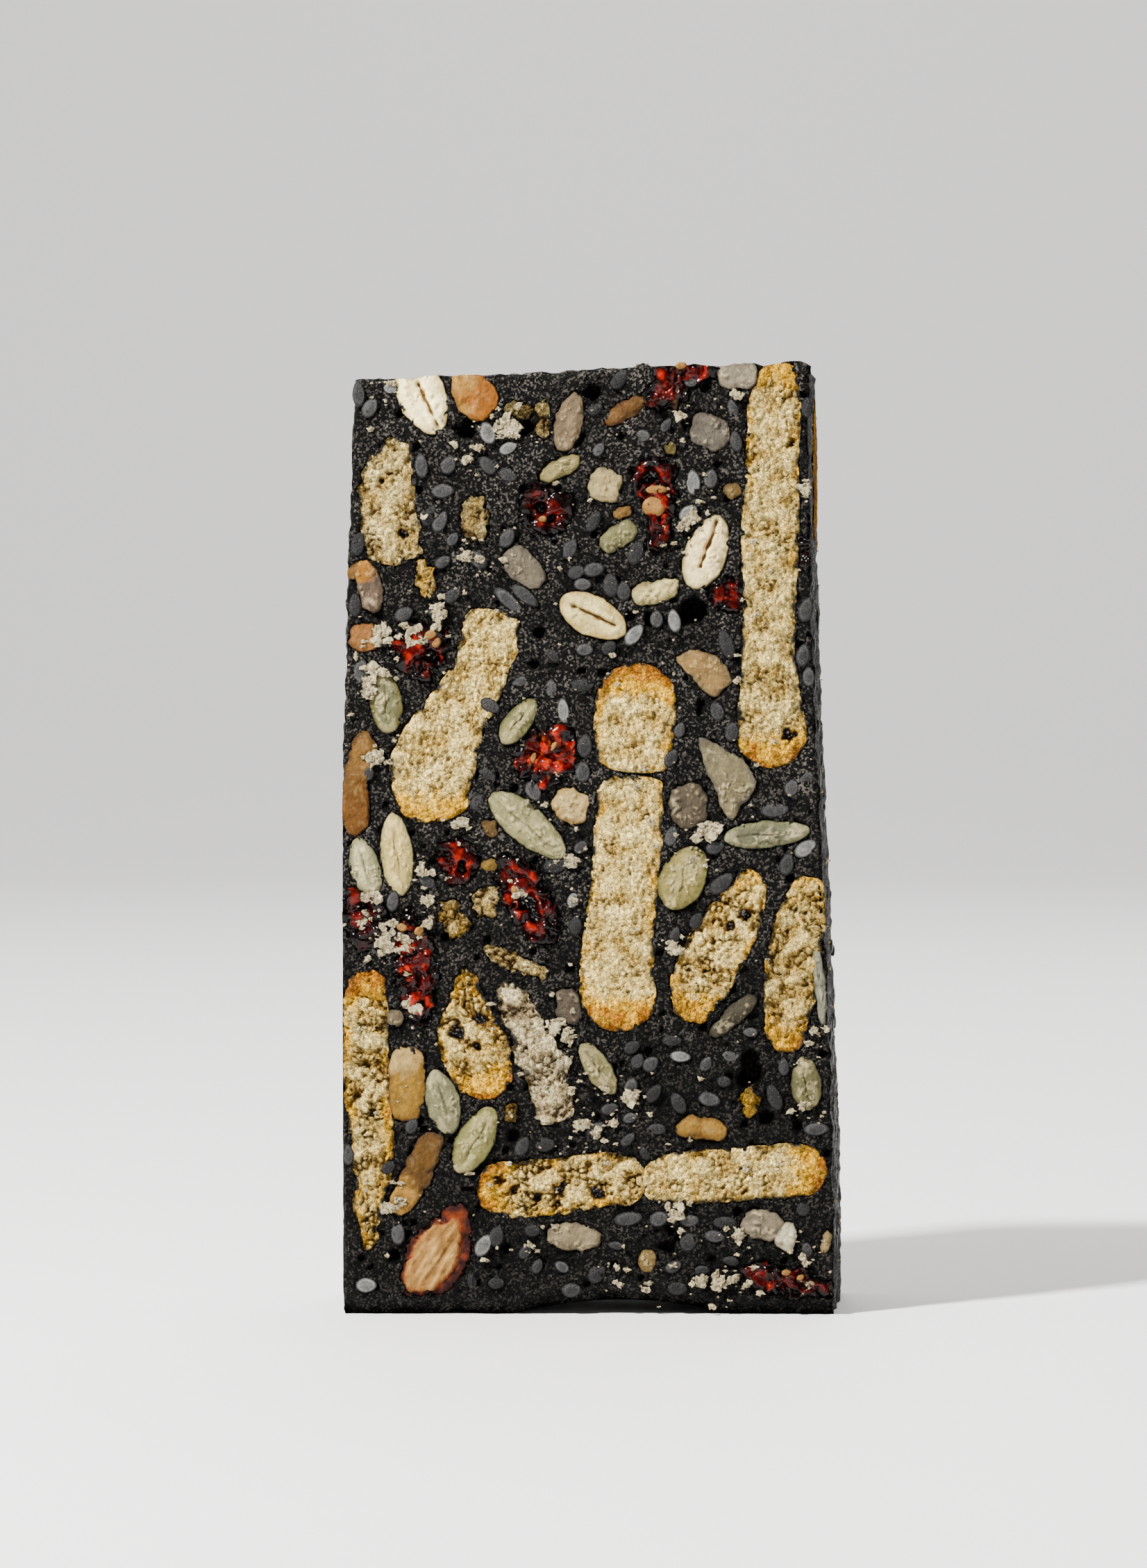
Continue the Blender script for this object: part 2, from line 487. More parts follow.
# cut seeds, nuts and berries, each with its middle x, z, its length and width and the turn of its long side.
# seeds and nuts add the colours of the cut face and the rim, then a slit (x, z to x, z) or a blush
# (x, z, reach, colour). berries add how bright they are and their dark holes (x, z, radius)
pumpkinSeeds = {
    "pumpkin_seed_top": (-18.3, 98.9, 9.2, 5.1, 113, (0.95, 0.8, 0.4), (0.5, 0.38, 0.14),
                         (-18.7, 100.2, -16.4, 95.3)),
    "pumpkin_seed_upright": (12.2, 82.0, 8.4, 4.6, 70, (0.72, 0.56, 0.27), (0.3, 0.24, 0.09),
                             (13.4, 85.3, 11.6, 80.6)),
    "pumpkin_seed_split": (0.1, 75.2, 7.9, 4.4, -28, (0.47, 0.38, 0.145), (0.36, 0.25, 0.07),
                           (-2.0, 76.3, 2.5, 74.2)),
    "pumpkin_seed_small": (-7.9, 63.9, 6.0, 3.0, 52, (0.15, 0.135, 0.05), (0.07, 0.07, 0.018), None),
    "pumpkin_seed_left": (-22.1, 65.9, 6.5, 3.5, 98, (0.1, 0.095, 0.04), (0.07, 0.06, 0.006), None),
    "pumpkin_seed_long": (-7.0, 52.8, 10.3, 4.2, -40, (0.18, 0.16, 0.07), (0.1, 0.1, 0.035), None),
    "pumpkin_seed_pale": (-21.0, 49.7, 8.9, 3.6, 96, (0.36, 0.28, 0.085), (0.2, 0.17, 0.06), None),
    "pumpkin_seed_edge": (-24.4, 48.2, 6.6, 3.3, 106, (0.27, 0.245, 0.125), (0.13, 0.13, 0.06), None),
    "pumpkin_seed_green": (9.8, 47.1, 7.6, 5.0, 64, (0.16, 0.13, 0.034), (0.07, 0.062, 0.009), None),
    "pumpkin_seed_flat": (18.7, 51.8, 9.2, 3.0, 5, (0.075, 0.074, 0.038), (0.1, 0.1, 0.042), None),
    "pumpkin_seed_low_grey": (-16.1, 23.0, 7.3, 3.7, 104, (0.13, 0.12, 0.058), (0.09, 0.088, 0.04), None),
    "pumpkin_seed_low_yellow": (-12.6, 18.8, 8.0, 3.9, 62, (0.155, 0.14, 0.045), (0.1, 0.095, 0.02), None),
    "pumpkin_seed_crumbed": (0.6, 26.6, 6.6, 2.8, 122, (0.12, 0.105, 0.04), (0.15, 0.13, 0.05), None),
    "pumpkin_seed_low_right": (23.0, 25.0, 6.0, 3.4, 96, (0.07, 0.065, 0.022), (0.05, 0.045, 0.015), None),
    "pumpkin_seed_back_high": (-6.5, 82.0, 8.8, 4.2, 38, (0.18, 0.16, 0.07), (0.1, 0.1, 0.035), None),
    "pumpkin_seed_back_right": (12.0, 74.5, 8.0, 4.0, -55, (0.78, 0.6, 0.27), (0.3, 0.24, 0.09), None),
    "pumpkin_seed_back_low": (10.5, 25.2, 8.4, 4.4, 20, (0.17, 0.14, 0.04), (0.08, 0.07, 0.01), None),
}
nuts = {
    "peanut_top": (-12.6, 98.7, 5.4, 6.0, 0, (0.26, 0.135, 0.024), (0.12, 0.055, 0.007),
                   (-10.7, 97.9, 3.6, (0.19, 0.06, 0.002))),
    "sunflower_kernel": (-2.5, 95.9, 6.4, 3.1, 76, (0.115, 0.08, 0.044), (0.08, 0.055, 0.03)),
    "peanut_grey": (-7.3, 80.5, 5.6, 4.6, -42, (0.09, 0.075, 0.05), (0.06, 0.05, 0.035)),
    "peanut_ragged": (12.0, 69.2, 6.8, 4.4, -28, (0.17, 0.1, 0.03), (0.1, 0.07, 0.03)),
    "peanut_wedge": (14.5, 58.0, 9.0, 4.2, -56, (0.125, 0.103, 0.052), (0.055, 0.05, 0.038)),
    "peanut_left": (-23.9, 78.3, 5.6, 2.7, 104, (0.075, 0.05, 0.032), (0.045, 0.03, 0.018),
                    (-24.6, 80.3, 1.8, (0.2, 0.08, 0.006))),
    "cashew_left": (-25.3, 57.0, 11.4, 2.9, 96, (0.13, 0.062, 0.009), (0.04, 0.015, 0.002),
                    (-25.2, 53.6, 4.2, (0.08, 0.029, 0.0008))),
    "cashew_low": (-20.0, 24.9, 8.0, 3.7, 92, (0.17, 0.09, 0.008), (0.11, 0.05, 0.005),
                   (-20.3, 27.9, 2.2, (0.27, 0.18, 0.06))),
    "cashew_strip": (-19.1, 15.3, 9.6, 2.7, 64, (0.07, 0.032, 0.003), (0.035, 0.016, 0.003),
                     (-20.6, 12.4, 2.6, (0.2, 0.1, 0.015))),
    "almond": (-16.9, 6.8, 10.2, 5.2, 60, (0.2, 0.095, 0.02), (0.016, 0.0012, 0.0003)),
    "kernel_slanted": (15.2, 32.3, 6.4, 2.0, 41, (0.035, 0.03, 0.018), (0.022, 0.018, 0.01)),
    "peanut_low": (-2.0, 8.5, 6.0, 3.0, -3, (0.17, 0.135, 0.075), (0.08, 0.062, 0.036)),
    "peanut_slice": (11.7, 20.2, 5.8, 2.6, -6, (0.19, 0.1, 0.013), (0.075, 0.035, 0.004)),
    "peanut_back_high": (2.0, 94.6, 7.4, 5.0, 12, (0.17, 0.1, 0.03), (0.1, 0.07, 0.03)),
    "peanut_back_left": (-19.6, 44.6, 6.8, 4.4, 70, (0.115, 0.08, 0.044), (0.06, 0.05, 0.035)),
    "peanut_back_low": (-14.5, 6.6, 7.8, 4.6, -8, (0.17, 0.1, 0.03), (0.1, 0.05, 0.01)),
}
berries = {
    "cranberry_dark": (-5.1, 86.4, 5.8, 5.0, -10, 0.35, ((-5.6, 86.8, 0.7), (-4.3, 85.7, 0.5))),
    "cranberry_seeded": (7.0, 87.2, 10.4, 4.8, 96, 0.55, ((6.2, 90.0, 1.1),)),
    "cranberry_left": (-18.8, 71.6, 6.6, 5.4, -12, 0.35, ((-17.1, 70.9, 0.9),)),
    "cranberry_bright": (-5.1, 60.3, 6.8, 6.4, 30, 1.0, ()),
    "cranberry_hollow": (-7.0, 45.1, 10.4, 5.0, 122, 0.45, ((-7.0, 44.5, 1.2), (-6.2, 42.9, 0.8))),
    "cranberry_edge": (-24.4, 42.6, 6.4, 4.2, 100, 0.3, ((-24.6, 44.0, 0.6),)),
    "cranberry_long": (-19.2, 37.2, 12.0, 4.5, 98, 0.6, ((-18.6, 33.2, 0.6),)),
    "cranberry_low": (20.6, 3.9, 10.4, 3.3, -12, 0.4, ()),
    "cranberry_top": (9.5, 101.3, 7.4, 3.4, -2, 0.5, ()),
    "cranberry_back_high": (8.6, 84.6, 7.2, 4.8, -60, 0.5, ((8.9, 85.2, 0.8),)),
    "cranberry_back_middle": (-5.4, 50.2, 7.8, 5.0, 75, 0.8, ()),
    "cranberry_back_low": (13.5, 6.4, 7.4, 4.4, 10, 0.4, ((13.2, 6.6, 0.7),)),
}
# outlines that are no plain oval, as corners to be rounded: x, z
corners = {
    "peanut_top": ((-14.9, 101.6), (-12.0, 101.6), (-9.8, 99.0), (-10.2, 97.3), (-12.1, 95.7),
                   (-14.0, 96.7), (-15.2, 99.3)),
    "peanut_grey": ((-8.8, 82.8), (-7.6, 83.0), (-5.3, 80.8), (-4.9, 79.0), (-5.8, 77.8), (-7.7, 78.6),
                    (-9.5, 79.9), (-9.7, 81.5)),
    "peanut_ragged": ((8.5, 70.7), (10.2, 71.6), (12.4, 71.6), (14.7, 69.6), (15.1, 68.1), (13.2, 66.5),
                      (12.2, 66.8), (10.6, 68.7)),
    "peanut_wedge": ((11.0, 62.8), (14.3, 61.1), (16.4, 59.8), (17.7, 57.3), (17.3, 55.9), (15.7, 54.4),
                     (15.2, 52.9), (14.1, 54.0), (13.4, 56.4), (12.2, 58.5)),
    "cashew_left": ((-24.3, 63.2), (-23.0, 61.6), (-23.2, 59.2), (-24.3, 57.6), (-24.0, 54.8),
                    (-23.9, 52.7), (-25.2, 51.5), (-26.5, 52.0), (-26.9, 54.0), (-26.8, 57.4),
                    (-26.3, 60.2), (-25.3, 62.6)),
    "cashew_low": ((-21.8, 28.4), (-20.5, 29.0), (-18.4, 28.7), (-17.9, 27.0), (-18.4, 21.6),
                   (-19.6, 20.8), (-21.4, 21.1), (-21.9, 24.8)),
    "cashew_strip": ((-18.3, 19.9), (-15.8, 19.5), (-15.9, 18.1), (-19.4, 11.0), (-21.1, 10.5),
                     (-22.1, 11.5), (-21.1, 13.9)),
    "almond": ((-13.6, 12.4), (-12.8, 9.1), (-13.5, 5.4), (-15.5, 2.3), (-18.8, 1.8), (-20.5, 2.4),
               (-20.6, 4.5), (-19.3, 8.4), (-17.4, 10.3), (-15.2, 11.5)),
    "cranberry_seeded": ((5.6, 92.0), (7.6, 92.5), (9.1, 91.2), (9.4, 88.8), (8.5, 86.4), (8.3, 83.6),
                         (7.1, 81.7), (6.1, 82.9), (5.8, 85.9), (4.4, 88.5), (4.2, 90.8)),
    "cranberry_hollow": ((-8.9, 50.1), (-6.8, 48.8), (-4.6, 45.4), (-3.5, 42.6), (-4.2, 40.3),
                         (-6.4, 40.0), (-8.1, 41.8), (-9.7, 43.8), (-10.6, 46.5), (-10.0, 48.9)),
    "cranberry_long": ((-21.1, 43.0), (-18.8, 43.4), (-16.6, 38.4), (-16.6, 34.5), (-18.0, 30.6),
                       (-19.7, 31.4), (-20.8, 34.6), (-21.3, 38.9)),
    "cranberry_edge": ((-26.4, 46.4), (-23.7, 45.8), (-21.8, 42.4), (-22.7, 39.7), (-25.2, 39.2),
                       (-26.8, 41.5)),
    "cranberry_left": ((-22.0, 73.2), (-20.3, 74.5), (-17.7, 74.2), (-15.4, 73.4), (-15.5, 70.8),
                       (-17.6, 68.3), (-19.2, 68.6), (-20.7, 69.8), (-21.8, 71.3)),
    "cranberry_bright": ((-8.4, 61.4), (-6.2, 63.2), (-2.8, 64.0), (-1.4, 61.8), (-2.4, 58.3),
                         (-5.0, 56.7), (-7.7, 57.8), (-8.6, 59.4)),
    "cranberry_low": ((15.4, 4.4), (17.7, 5.8), (21.4, 5.2), (25.9, 3.6), (26.3, 2.0), (22.2, 2.0),
                      (17.7, 2.7)),
    "cranberry_top": ((6.1, 102.2), (8.7, 103.2), (13.1, 103.0), (13.3, 100.7), (10.4, 99.7), (9.9, 98.2),
                      (7.6, 96.9), (5.8, 97.4), (5.5, 99.4), (6.5, 100.4)),
}


# the middle, and the reach of the outline to each side as a function of the angle
def outlineOf(name, row, seed):
    x, z, length, width, turn = row[:5]
    if name in corners:
        points = [Vector(c) for c in corners[name]]
        for t in (0.2, 0.25):
            points = [p.lerp(q, s) for p, q in zip(points, points[1:] + points[:1]) for s in (t, 1 - t)]
        middle = sum(points, Vector((0, 0))) / len(points)
        bearings = sorted(
            (math.atan2(p.y - middle.y, p.x - middle.x) % math.tau, (p - middle).length) for p in points)
        bearings = [(bearings[-1][0] - math.tau, bearings[-1][1])] + bearings
        bearings.append((bearings[1][0] + math.tau, bearings[1][1]))

        def reach(angle):
            angle %= math.tau
            for (a, ra), (b, rb) in zip(bearings, bearings[1:]):
                if a <= angle <= b:
                    return ra + (rb - ra) * (angle - a) / max(1e-6, b - a)
            return bearings[0][1]
        return middle, reach
    middle = Vector((x, z))
    lean = math.radians(turn)
    seedLike = name.startswith("pumpkin") or name.startswith("sunflower")

    def reach(angle):
        local = angle - lean
        c, s = math.cos(local), math.sin(local)
        a, b = length / 2, width / 2
        power = 2.0 if seedLike else 2.5
        radius = (abs(c / a) ** power + abs(s / b) ** power) ** (-1 / power)
        if seedLike:
            radius *= 1 - 0.12 * max(0.0, c) ** 2 * abs(s)
        ripple = 0.06 if seedLike else 0.12
        return radius * (1 + ripple * grain(c, seed, s, 0.6, 3.0))
    return middle, reach


# a flat cut face with a round bowl behind it. most of the rings lie in the face
lump = {"step": 0.2, "frontShare": 0.8, "leastAround": 28, "leastRings": 16, "deepest": 3.0}
raggedness = {"seedKind": 0.1, "nutKind": 0.22, "almondKind": 0.5, "berryKind": 0.7, "fragmentKind": 0.55}


def drawLump(name, row, kind, seed, side=-1):
    ragged = raggedness[kind.__name__]
    middle, reach = outlineOf(name, row, seed)
    length, width = row[2], row[3]
    frontShare = lump["frontShare"]
    around = max(lump["leastAround"], int(math.pi * (length + width) / 2 / lump["step"]))
    rings = max(lump["leastRings"], int(max(length, width) / 2 / lump["step"] / frontShare))
    depth = min(lump["deepest"], 1.2 + 0.3 * width)
    lean = math.radians(row[4])
    bm = bmesh.new()
    bmesh.ops.create_uvsphere(bm, u_segments=around, v_segments=rings, radius=1)
    bmesh.ops.rotate(bm, cent=(0, 0, 0), matrix=Matrix.Rotation(math.radians(90), 3, "X"), verts=bm.verts)
    tint = bm.verts.layers.float_color.new("tint")
    for v in bm.verts:
        spot3 = v.co.normalized()
        angle = math.atan2(spot3.z, spot3.x)
        fromFront = math.acos(max(-1.0, min(1.0, -spot3.y)))
        radius = reach(angle)
        share = min(1.0, fromFront / math.pi / frontShare)
        turned = max(0.0, fromFront / math.pi - frontShare) / (1 - frontShare) * math.pi / 2
        out = radius * share * max(0.0, math.cos(turned)) ** 0.6
        under = depth * math.sin(turned)
        x = middle.x + out * math.cos(angle)
        z = middle.y + out * math.sin(angle)
        push = ragged * share
        x, z = (x + push * (grain(x, seed, z, 1.1, 21.0) + 0.7 * grain(x, seed, z, 0.45, 23.0)),
                z + push * (grain(x, seed, z, 1.1, 25.0) + 0.7 * grain(x, seed, z, 0.45, 27.0)))
        local = Vector((x - middle.x, z - middle.y))
        along = (local.x * math.cos(lean) + local.y * math.sin(lean)) / (length / 2)
        across = (-local.x * math.sin(lean) + local.y * math.cos(lean)) / (width / 2)
        rim = radius * (1 - share)
        height, colour = kind(row, x, z, along, across, rim, seed)
        y = side * (block["face"] + height - under)
        # what lies under the face keeps further in from the side walls
        buried = 0.1 + 0.9 * ramp(under, 0.4, 1.6)
        x = max(leftEdge(z) + buried, min(rightEdge(z, y) - buried, x))
        z = min(topEdge(x) - 0.05, z)
        v.co = (x, y, z)
        v[tint] = (*colour, 1)
    return bm


# flaky scratches, paler than the cut face
def paler(colour):
    return mix([1.5 * c for c in colour], (0.6, 0.5, 0.28), 0.3)


def scuffAt(x, z, seed):
    return ramp(0.7 * grain(x, seed, z, 1.6, 11.0) + 1.1 * grain(x, seed, z, 0.4, 12.0), 0.3, 0.55)


def seedKind(row, x, z, along, across, rim, seed):
    body, edge, slit = row[5:8]
    scuff = scuffAt(x, z, seed) * ramp(rim, 0.1, 0.7)
    height = 0.22 * ramp(rim, 0.0, 1.3) - 0.13 + 0.1 * grain(x, seed, z, 1.5) + 0.05 * grain(x, seed, z, 0.5)
    height += 0.14 * scuff
    colour = mix(body, edge, (1 - ramp(rim, 0.1, 0.9)) * 0.9 + 0.5 * grain(x, seed, z, 1.6, 2.0))
    streak = grain(along * 0.6, seed, across * 4, 0.6, 5.0)
    colour = [c * (1 + 0.25 * streak) for c in colour]
    colour = mix(colour, paler(colour), 0.8 * scuff)
    colour = mix(colour, [c * 0.3 for c in edge], 1 - ramp(rim, 0.02, 0.24))
    flaky = ramp(grain(x, seed, z, 1.3, 13.0) + 0.5 * grain(x, seed, z, 0.5, 14.0), 0.0, 0.2)
    flaky *= 1 - ramp(abs(across), 0.3, 0.8)
    colour = mix(colour, paler(colour), 0.6 * flaky)
    height += 0.06 * flaky
    if not slit:
        vein = 1 - ramp(abs(across + 0.25 * grain(along, seed, 0, 0.5)), 0.0, 0.1)
        vein *= 1 - ramp(abs(along), 0.6, 0.9)
        colour = [c * (1 - 0.4 * vein) for c in colour]
        height -= 0.12 * vein
    else:
        a, b = Vector(slit[:2]), Vector(slit[2:])
        t = max(0.0, min(1.0, (Vector((x, z)) - a).dot(b - a) / (b - a).length_squared))
        gap = (Vector((x, z)) - a.lerp(b, t)).length + 0.25 * grain(x, seed, z, 0.8, 4.0)
        height -= 0.5 * (1 - ramp(gap, 0.0, 0.38))
        colour = mix(colour, (0.09, 0.035, 0.004), 1 - ramp(gap, 0.02, 0.24))
        fold = abs(grain(along * 2.2, seed, across * 1.1, 0.5, 7.0))
        colour = [c * (0.95 + 0.25 * fold) for c in colour]
    return height, colour


def nutKind(row, x, z, along, across, rim, seed):
    body, edge = row[5:7]
    scuff = scuffAt(x, z, seed) * ramp(rim, 0.1, 0.5) * (0.2 + 0.8 * ramp(body[2] / body[0], 0.02, 0.3))
    height = 0.14 * ramp(rim, 0.0, 0.9) - 0.1 + 0.18 * grain(x, seed, z, 1.6) + 0.08 * grain(x, seed, z, 0.5)
    height += 0.16 * scuff
    colour = mix(body, edge, 0.75 * (1 - ramp(rim, 0.0, 1.1)) + 0.7 * grain(x, seed, z, 1.9, 2.0))
    if len(row) > 7:
        blushX, blushZ, reach, blush = row[7]
        gap = math.hypot(x - blushX, z - blushZ) / reach + 0.5 * grain(x, seed, z, 1.1, 8.0)
        colour = mix(blush, colour, ramp(gap, 0.5, 1.1))
    colour = [c * (1 + 0.3 * grain(x, seed, z, 0.6, 6.0)) for c in colour]
    colour = mix(colour, paler(colour), 0.75 * scuff)
    colour = mix(colour, [c * 0.3 for c in edge], 0.8 * (1 - ramp(rim, 0.0, 0.22)))
    return height, colour


def almondKind(row, x, z, along, across, rim, seed):
    flesh, skin = row[5:7]
    inFlesh = ramp(rim - 1.3 * ramp(along, 0.15, 0.9) - 0.55 * ramp(across, -0.2, -0.9), 0.35, 0.95)
    height = -0.2 + 0.3 * inFlesh * (1 + 0.4 * grain(x, seed, z, 1.4)) + 0.14 * grain(x, seed, z, 0.7)
    orange = inFlesh * 1.6 + 0.3 * rim + 0.7 * grain(x, seed, z, 1.0, 3.0) - 0.1
    skinColour = mix(skin, (0.24, 0.036, 0.002), orange)
    grooves = grain(along, seed, across * 2.5, 0.5, 5.0)
    fleshColour = mix(flesh, (0.38, 0.22, 0.065), 0.3 + 1.6 * grooves)
    crease = (1 - ramp(abs(across + 0.25 + 0.2 * along), 0.0, 0.07)) * (1 - ramp(abs(along), 0.5, 0.7))
    fleshColour = [c * (1 - 0.6 * crease) for c in fleshColour]
    height += 0.2 * grooves * inFlesh
    return height, mix(skinColour, fleshColour, inFlesh)


def berryKind(row, x, z, along, across, rim, seed):
    bright, holes = row[5:7]
    folds = abs(grain(x, seed, z, 1.6, 1.0)) + 0.6 * abs(grain(x, seed, z, 0.75, 4.0))
    height = -0.5 + 1.5 * folds + 0.15 * ramp(rim, 0.0, 0.8) - 0.1 + 0.25 * grain(x, seed, z, 0.45, 3.0)
    core = ramp(rim + 1.6 * grain(x, seed, z, 1.4, 6.0), 0.3, 1.5)
    colour = mix((0.0015, 0.0002, 0.0002), (0.032, 0.0006, 0.0004), core * (0.2 + 2.2 * (folds - 0.1)))
    flame = ramp(grain(x, seed, z, 1.2, 9.0) + 0.35 * bright, 0.16, 0.42) * core
    colour = mix(colour, (0.11, 0.0016, 0.0002), flame * (0.4 + 0.5 * bright))
    spark = ramp(folds + 0.4 * grain(x, seed, z, 0.4, 19.0), 0.36, 0.56) * flame
    colour = mix(colour, (0.3, 0.01, 0.0006), spark * (0.3 + 0.6 * bright))
    if bright > 0.75:
        pulp = 0.5 - lumps(x, z, 0.7, seed)
        height += 0.3 * pulp
        colour = mix(colour, (0.2, 0.038, 0.002), ramp(pulp, 0.12, 0.35) * 0.7 * core)
    for holeX, holeZ, radius in holes:
        gap = math.hypot(x - holeX, z - holeZ) / radius + 0.5 * grain(x, seed, z, 0.8, 8.0)
        height -= 1.2 * (1 - ramp(gap, 0.5, 1.1))
        colour = mix((0.001, 0.0002, 0.0002), colour, ramp(gap, 0.6, 1.15))
    return height, colour


pieceMeshes = []


# remembers where a piece lies, so that the nougat makes room for it
def keepPiece(bm):
    bm.verts.index_update()
    pieceMeshes.append(([v.co.copy() for v in bm.verts], [[v.index for v in f.verts] for f in bm.faces]))


for name, shape in crackers.items():
    bm = drawCracker(shape)
    for v in bm.verts:
        buried = 0.9 * ramp(block["face"] - abs(v.co.y), 0.4, 2.0)
        v.co.x = max(leftEdge(v.co.z) + 0.1 + buried, min(rightEdge(v.co.z, v.co.y) - 0.05 - buried, v.co.x))
        v.co.z = min(v.co.z, topEdge(v.co.x) - 0.1 - buried)
    keepPiece(bm)
    finishPiece(bm, name.replace("_", "-"), crackerMaterial, (name,))
print("crackers drawn", len(crackers))

kinds = (
    (pumpkinSeeds, seedKind, seedMaterial, "pumpkin_seed"),
    (nuts, nutKind, nutMaterial, "nut"),
    (berries, berryKind, berryMaterial, "cranberry"),
)
for rows, kind, material, slot in kinds:
    for number, (name, row) in enumerate(rows.items()):
        drawKind = almondKind if name == "almond" else kind
        bm = drawLump(name, row, drawKind, 3.1 * number + 1.7, 1 if "_back_" in name else -1)
        keepPiece(bm)
        finishPiece(bm, name.replace("_", "-"), material, (name,))
print("seeds, nuts and berries drawn")

# a toasted flake in the right side
flake = {"y": 1.2, "z": 91.0, "wide": 8.4, "tall": 14.0, "deep": 1.4}
bm = bmesh.new()
bmesh.ops.create_uvsphere(bm, u_segments=64, v_segments=32, radius=1)
bmesh.ops.rotate(bm, cent=(0, 0, 0), matrix=Matrix.Rotation(math.radians(90), 3, "Y"), verts=bm.verts)
tint = bm.verts.layers.float_color.new("tint")
for v in bm.verts:
    rough = 1 + 0.5 * grain(*v.co, 0.5, 2.0) + 0.25 * grain(*v.co, 0.15, 4.0)
    y = flake["y"] + v.co.y * flake["wide"] / 2 * rough
    z = flake["z"] + v.co.z * flake["tall"] / 2 * rough
    crumb = crumbHeight(y, z, 61.0)
    if v.co.x > 0:
        x = rightEdge(z, y) + 0.15 * v.co.x + 0.3 * crumb
    else:
        x = rightEdge(z, y) + v.co.x * flake["deep"]
    v[tint] = (*crackerTint(crumb, 1.0 + 0.8 * grain(y, 61, z, 2.0), y, z, 61.0, 0.0, 0.6), 1)
    v.co = (x, y, z)
keepPiece(bm)
finishPiece(bm, "cracker-side", crackerMaterial, ("cracker_side",))

# smaller bits of nut, seed and berry: x, z, length, width, turn, colour, colour at the rim
bits = (
    (6.7, 77.8, 5.4, 2.6, 14, (0.35, 0.29, 0.12), (0.16, 0.13, 0.05)),
    (2.8, 83.7, 4.4, 2.6, 30, (0.13, 0.12, 0.05), (0.09, 0.085, 0.035)),
    (3.7, 97.3, 5.2, 2.0, 30, (0.07, 0.03, 0.004), (0.04, 0.015, 0.002)),
    (12.7, 94.8, 4.7, 3.7, -25, (0.078, 0.066, 0.05), (0.045, 0.036, 0.027)),
    (15.5, 100.9, 4.4, 3.0, 0, (0.19, 0.16, 0.11), (0.1, 0.08, 0.055)),
    (1.4, 89.2, 3.8, 3.6, 75, (0.27, 0.21, 0.09), (0.15, 0.12, 0.055)),
    (-3.4, 91.0, 4.8, 2.0, 30, (0.2, 0.165, 0.065), (0.1, 0.08, 0.025)),
    (10.4, 54.8, 4.3, 5.0, 0, (0.052, 0.04, 0.024), (0.035, 0.027, 0.017)),
    (-2.3, 54.9, 3.8, 4.0, 60, (0.34, 0.25, 0.1), (0.2, 0.12, 0.03)),
    (-24.5, 72.9, 3.2, 3.2, 0, (0.19, 0.08, 0.018), (0.1, 0.036, 0.006)),
    (-2.5, 33.2, 4.2, 2.7, 100, (0.055, 0.042, 0.028), (0.035, 0.027, 0.018)),
    (18.3, 9.8, 4.9, 3.3, -10, (0.15, 0.125, 0.08), (0.08, 0.065, 0.042)),
    (20.9, 8.5, 3.2, 2.2, 80, (0.36, 0.33, 0.22), (0.2, 0.17, 0.11)),
    (25.2, 8.0, 2.8, 1.0, 80, (0.2, 0.15, 0.06), (0.12, 0.08, 0.03)),
    (24.5, 35.5, 8.5, 1.1, 94, (0.14, 0.14, 0.1), (0.1, 0.1, 0.07)),
    (9.0, 98.7, 3.2, 0.9, 80, (0.03, 0.01, 0.002), (0.02, 0.006, 0.001)),
    (3.2, 86.3, 2.2, 1.3, 25, (0.16, 0.09, 0.02), (0.1, 0.05, 0.01)),
    (15.1, 88.6, 1.8, 1.7, 0, (0.1, 0.06, 0.015), (0.06, 0.035, 0.008)),
    (6.0, 5.8, 2.6, 2.0, 90, (0.12, 0.08, 0.025), (0.08, 0.05, 0.012)),
    (-21.2, 32.0, 1.9, 1.8, 0, (0.1, 0.075, 0.04), (0.06, 0.045, 0.025)),
    (-11.0, 48.5, 2.0, 1.3, 0, (0.14, 0.085, 0.012), (0.09, 0.05, 0.006)),
    (-11.0, 52.4, 1.8, 1.9, 0, (0.07, 0.04, 0.01), (0.04, 0.02, 0.005)),
    (8.4, 93.3, 1.8, 1.3, 90, (0.06, 0.045, 0.01), (0.04, 0.03, 0.006)),
    (-25.3, 80.0, 2.0, 1.4, 40, (0.12, 0.06, 0.01), (0.08, 0.035, 0.005)),
)
# smaller bits of cracker: x, z, length, width, turn, toast, tone
fragments = (
    (-17.9, 79.2, 2.4, 4.0, 5, 0.4, 0.7), (-12.6, 85.7, 3.0, 5.2, 0, 0.1, 0.5),
    (-8.4, 38.1, 7.6, 1.9, -22, 0.0, 0.65), (-14.8, 42.6, 3.0, 4.2, 15, 0.3, 0.5),
    (-11.4, 44.5, 2.8, 3.4, 0, 0.05, 0.7), (-8.8, 21.8, 1.6, 2.0, 0, 0.4, 0.3),
    (16.9, 22.9, 2.0, 3.0, 0, 0.5, 0.35), (-5.2, 96.3, 1.6, 4.2, 0, 0.0, 0.4),
    (-8.0, 97.3, 3.4, 1.8, 0, 0.0, 0.25),
)


def fragmentKind(row, x, z, along, across, rim, seed):
    height = crumbHeight(x, z, seed, 0.35) - 0.1
    toast = row[5] + 0.3 * grain(x, seed, z, 1.5)
    tone = row[6] * (0.5 + 0.5 * ramp(rim, 0.0, 0.7))
    return height, crackerTint(height, toast, x, z, seed, 0.15, tone)


smallBerries = (
    (14.4, 77.5, 4.2, 3.6, 10, 0.45, ()), (-14.3, 49.0, 4.8, 5.0, 20, 0.3, ((-14.0, 48.3, 0.7),)),
    (22.9, 82.0, 3.4, 1.5, 90, 0.3, ()),
)


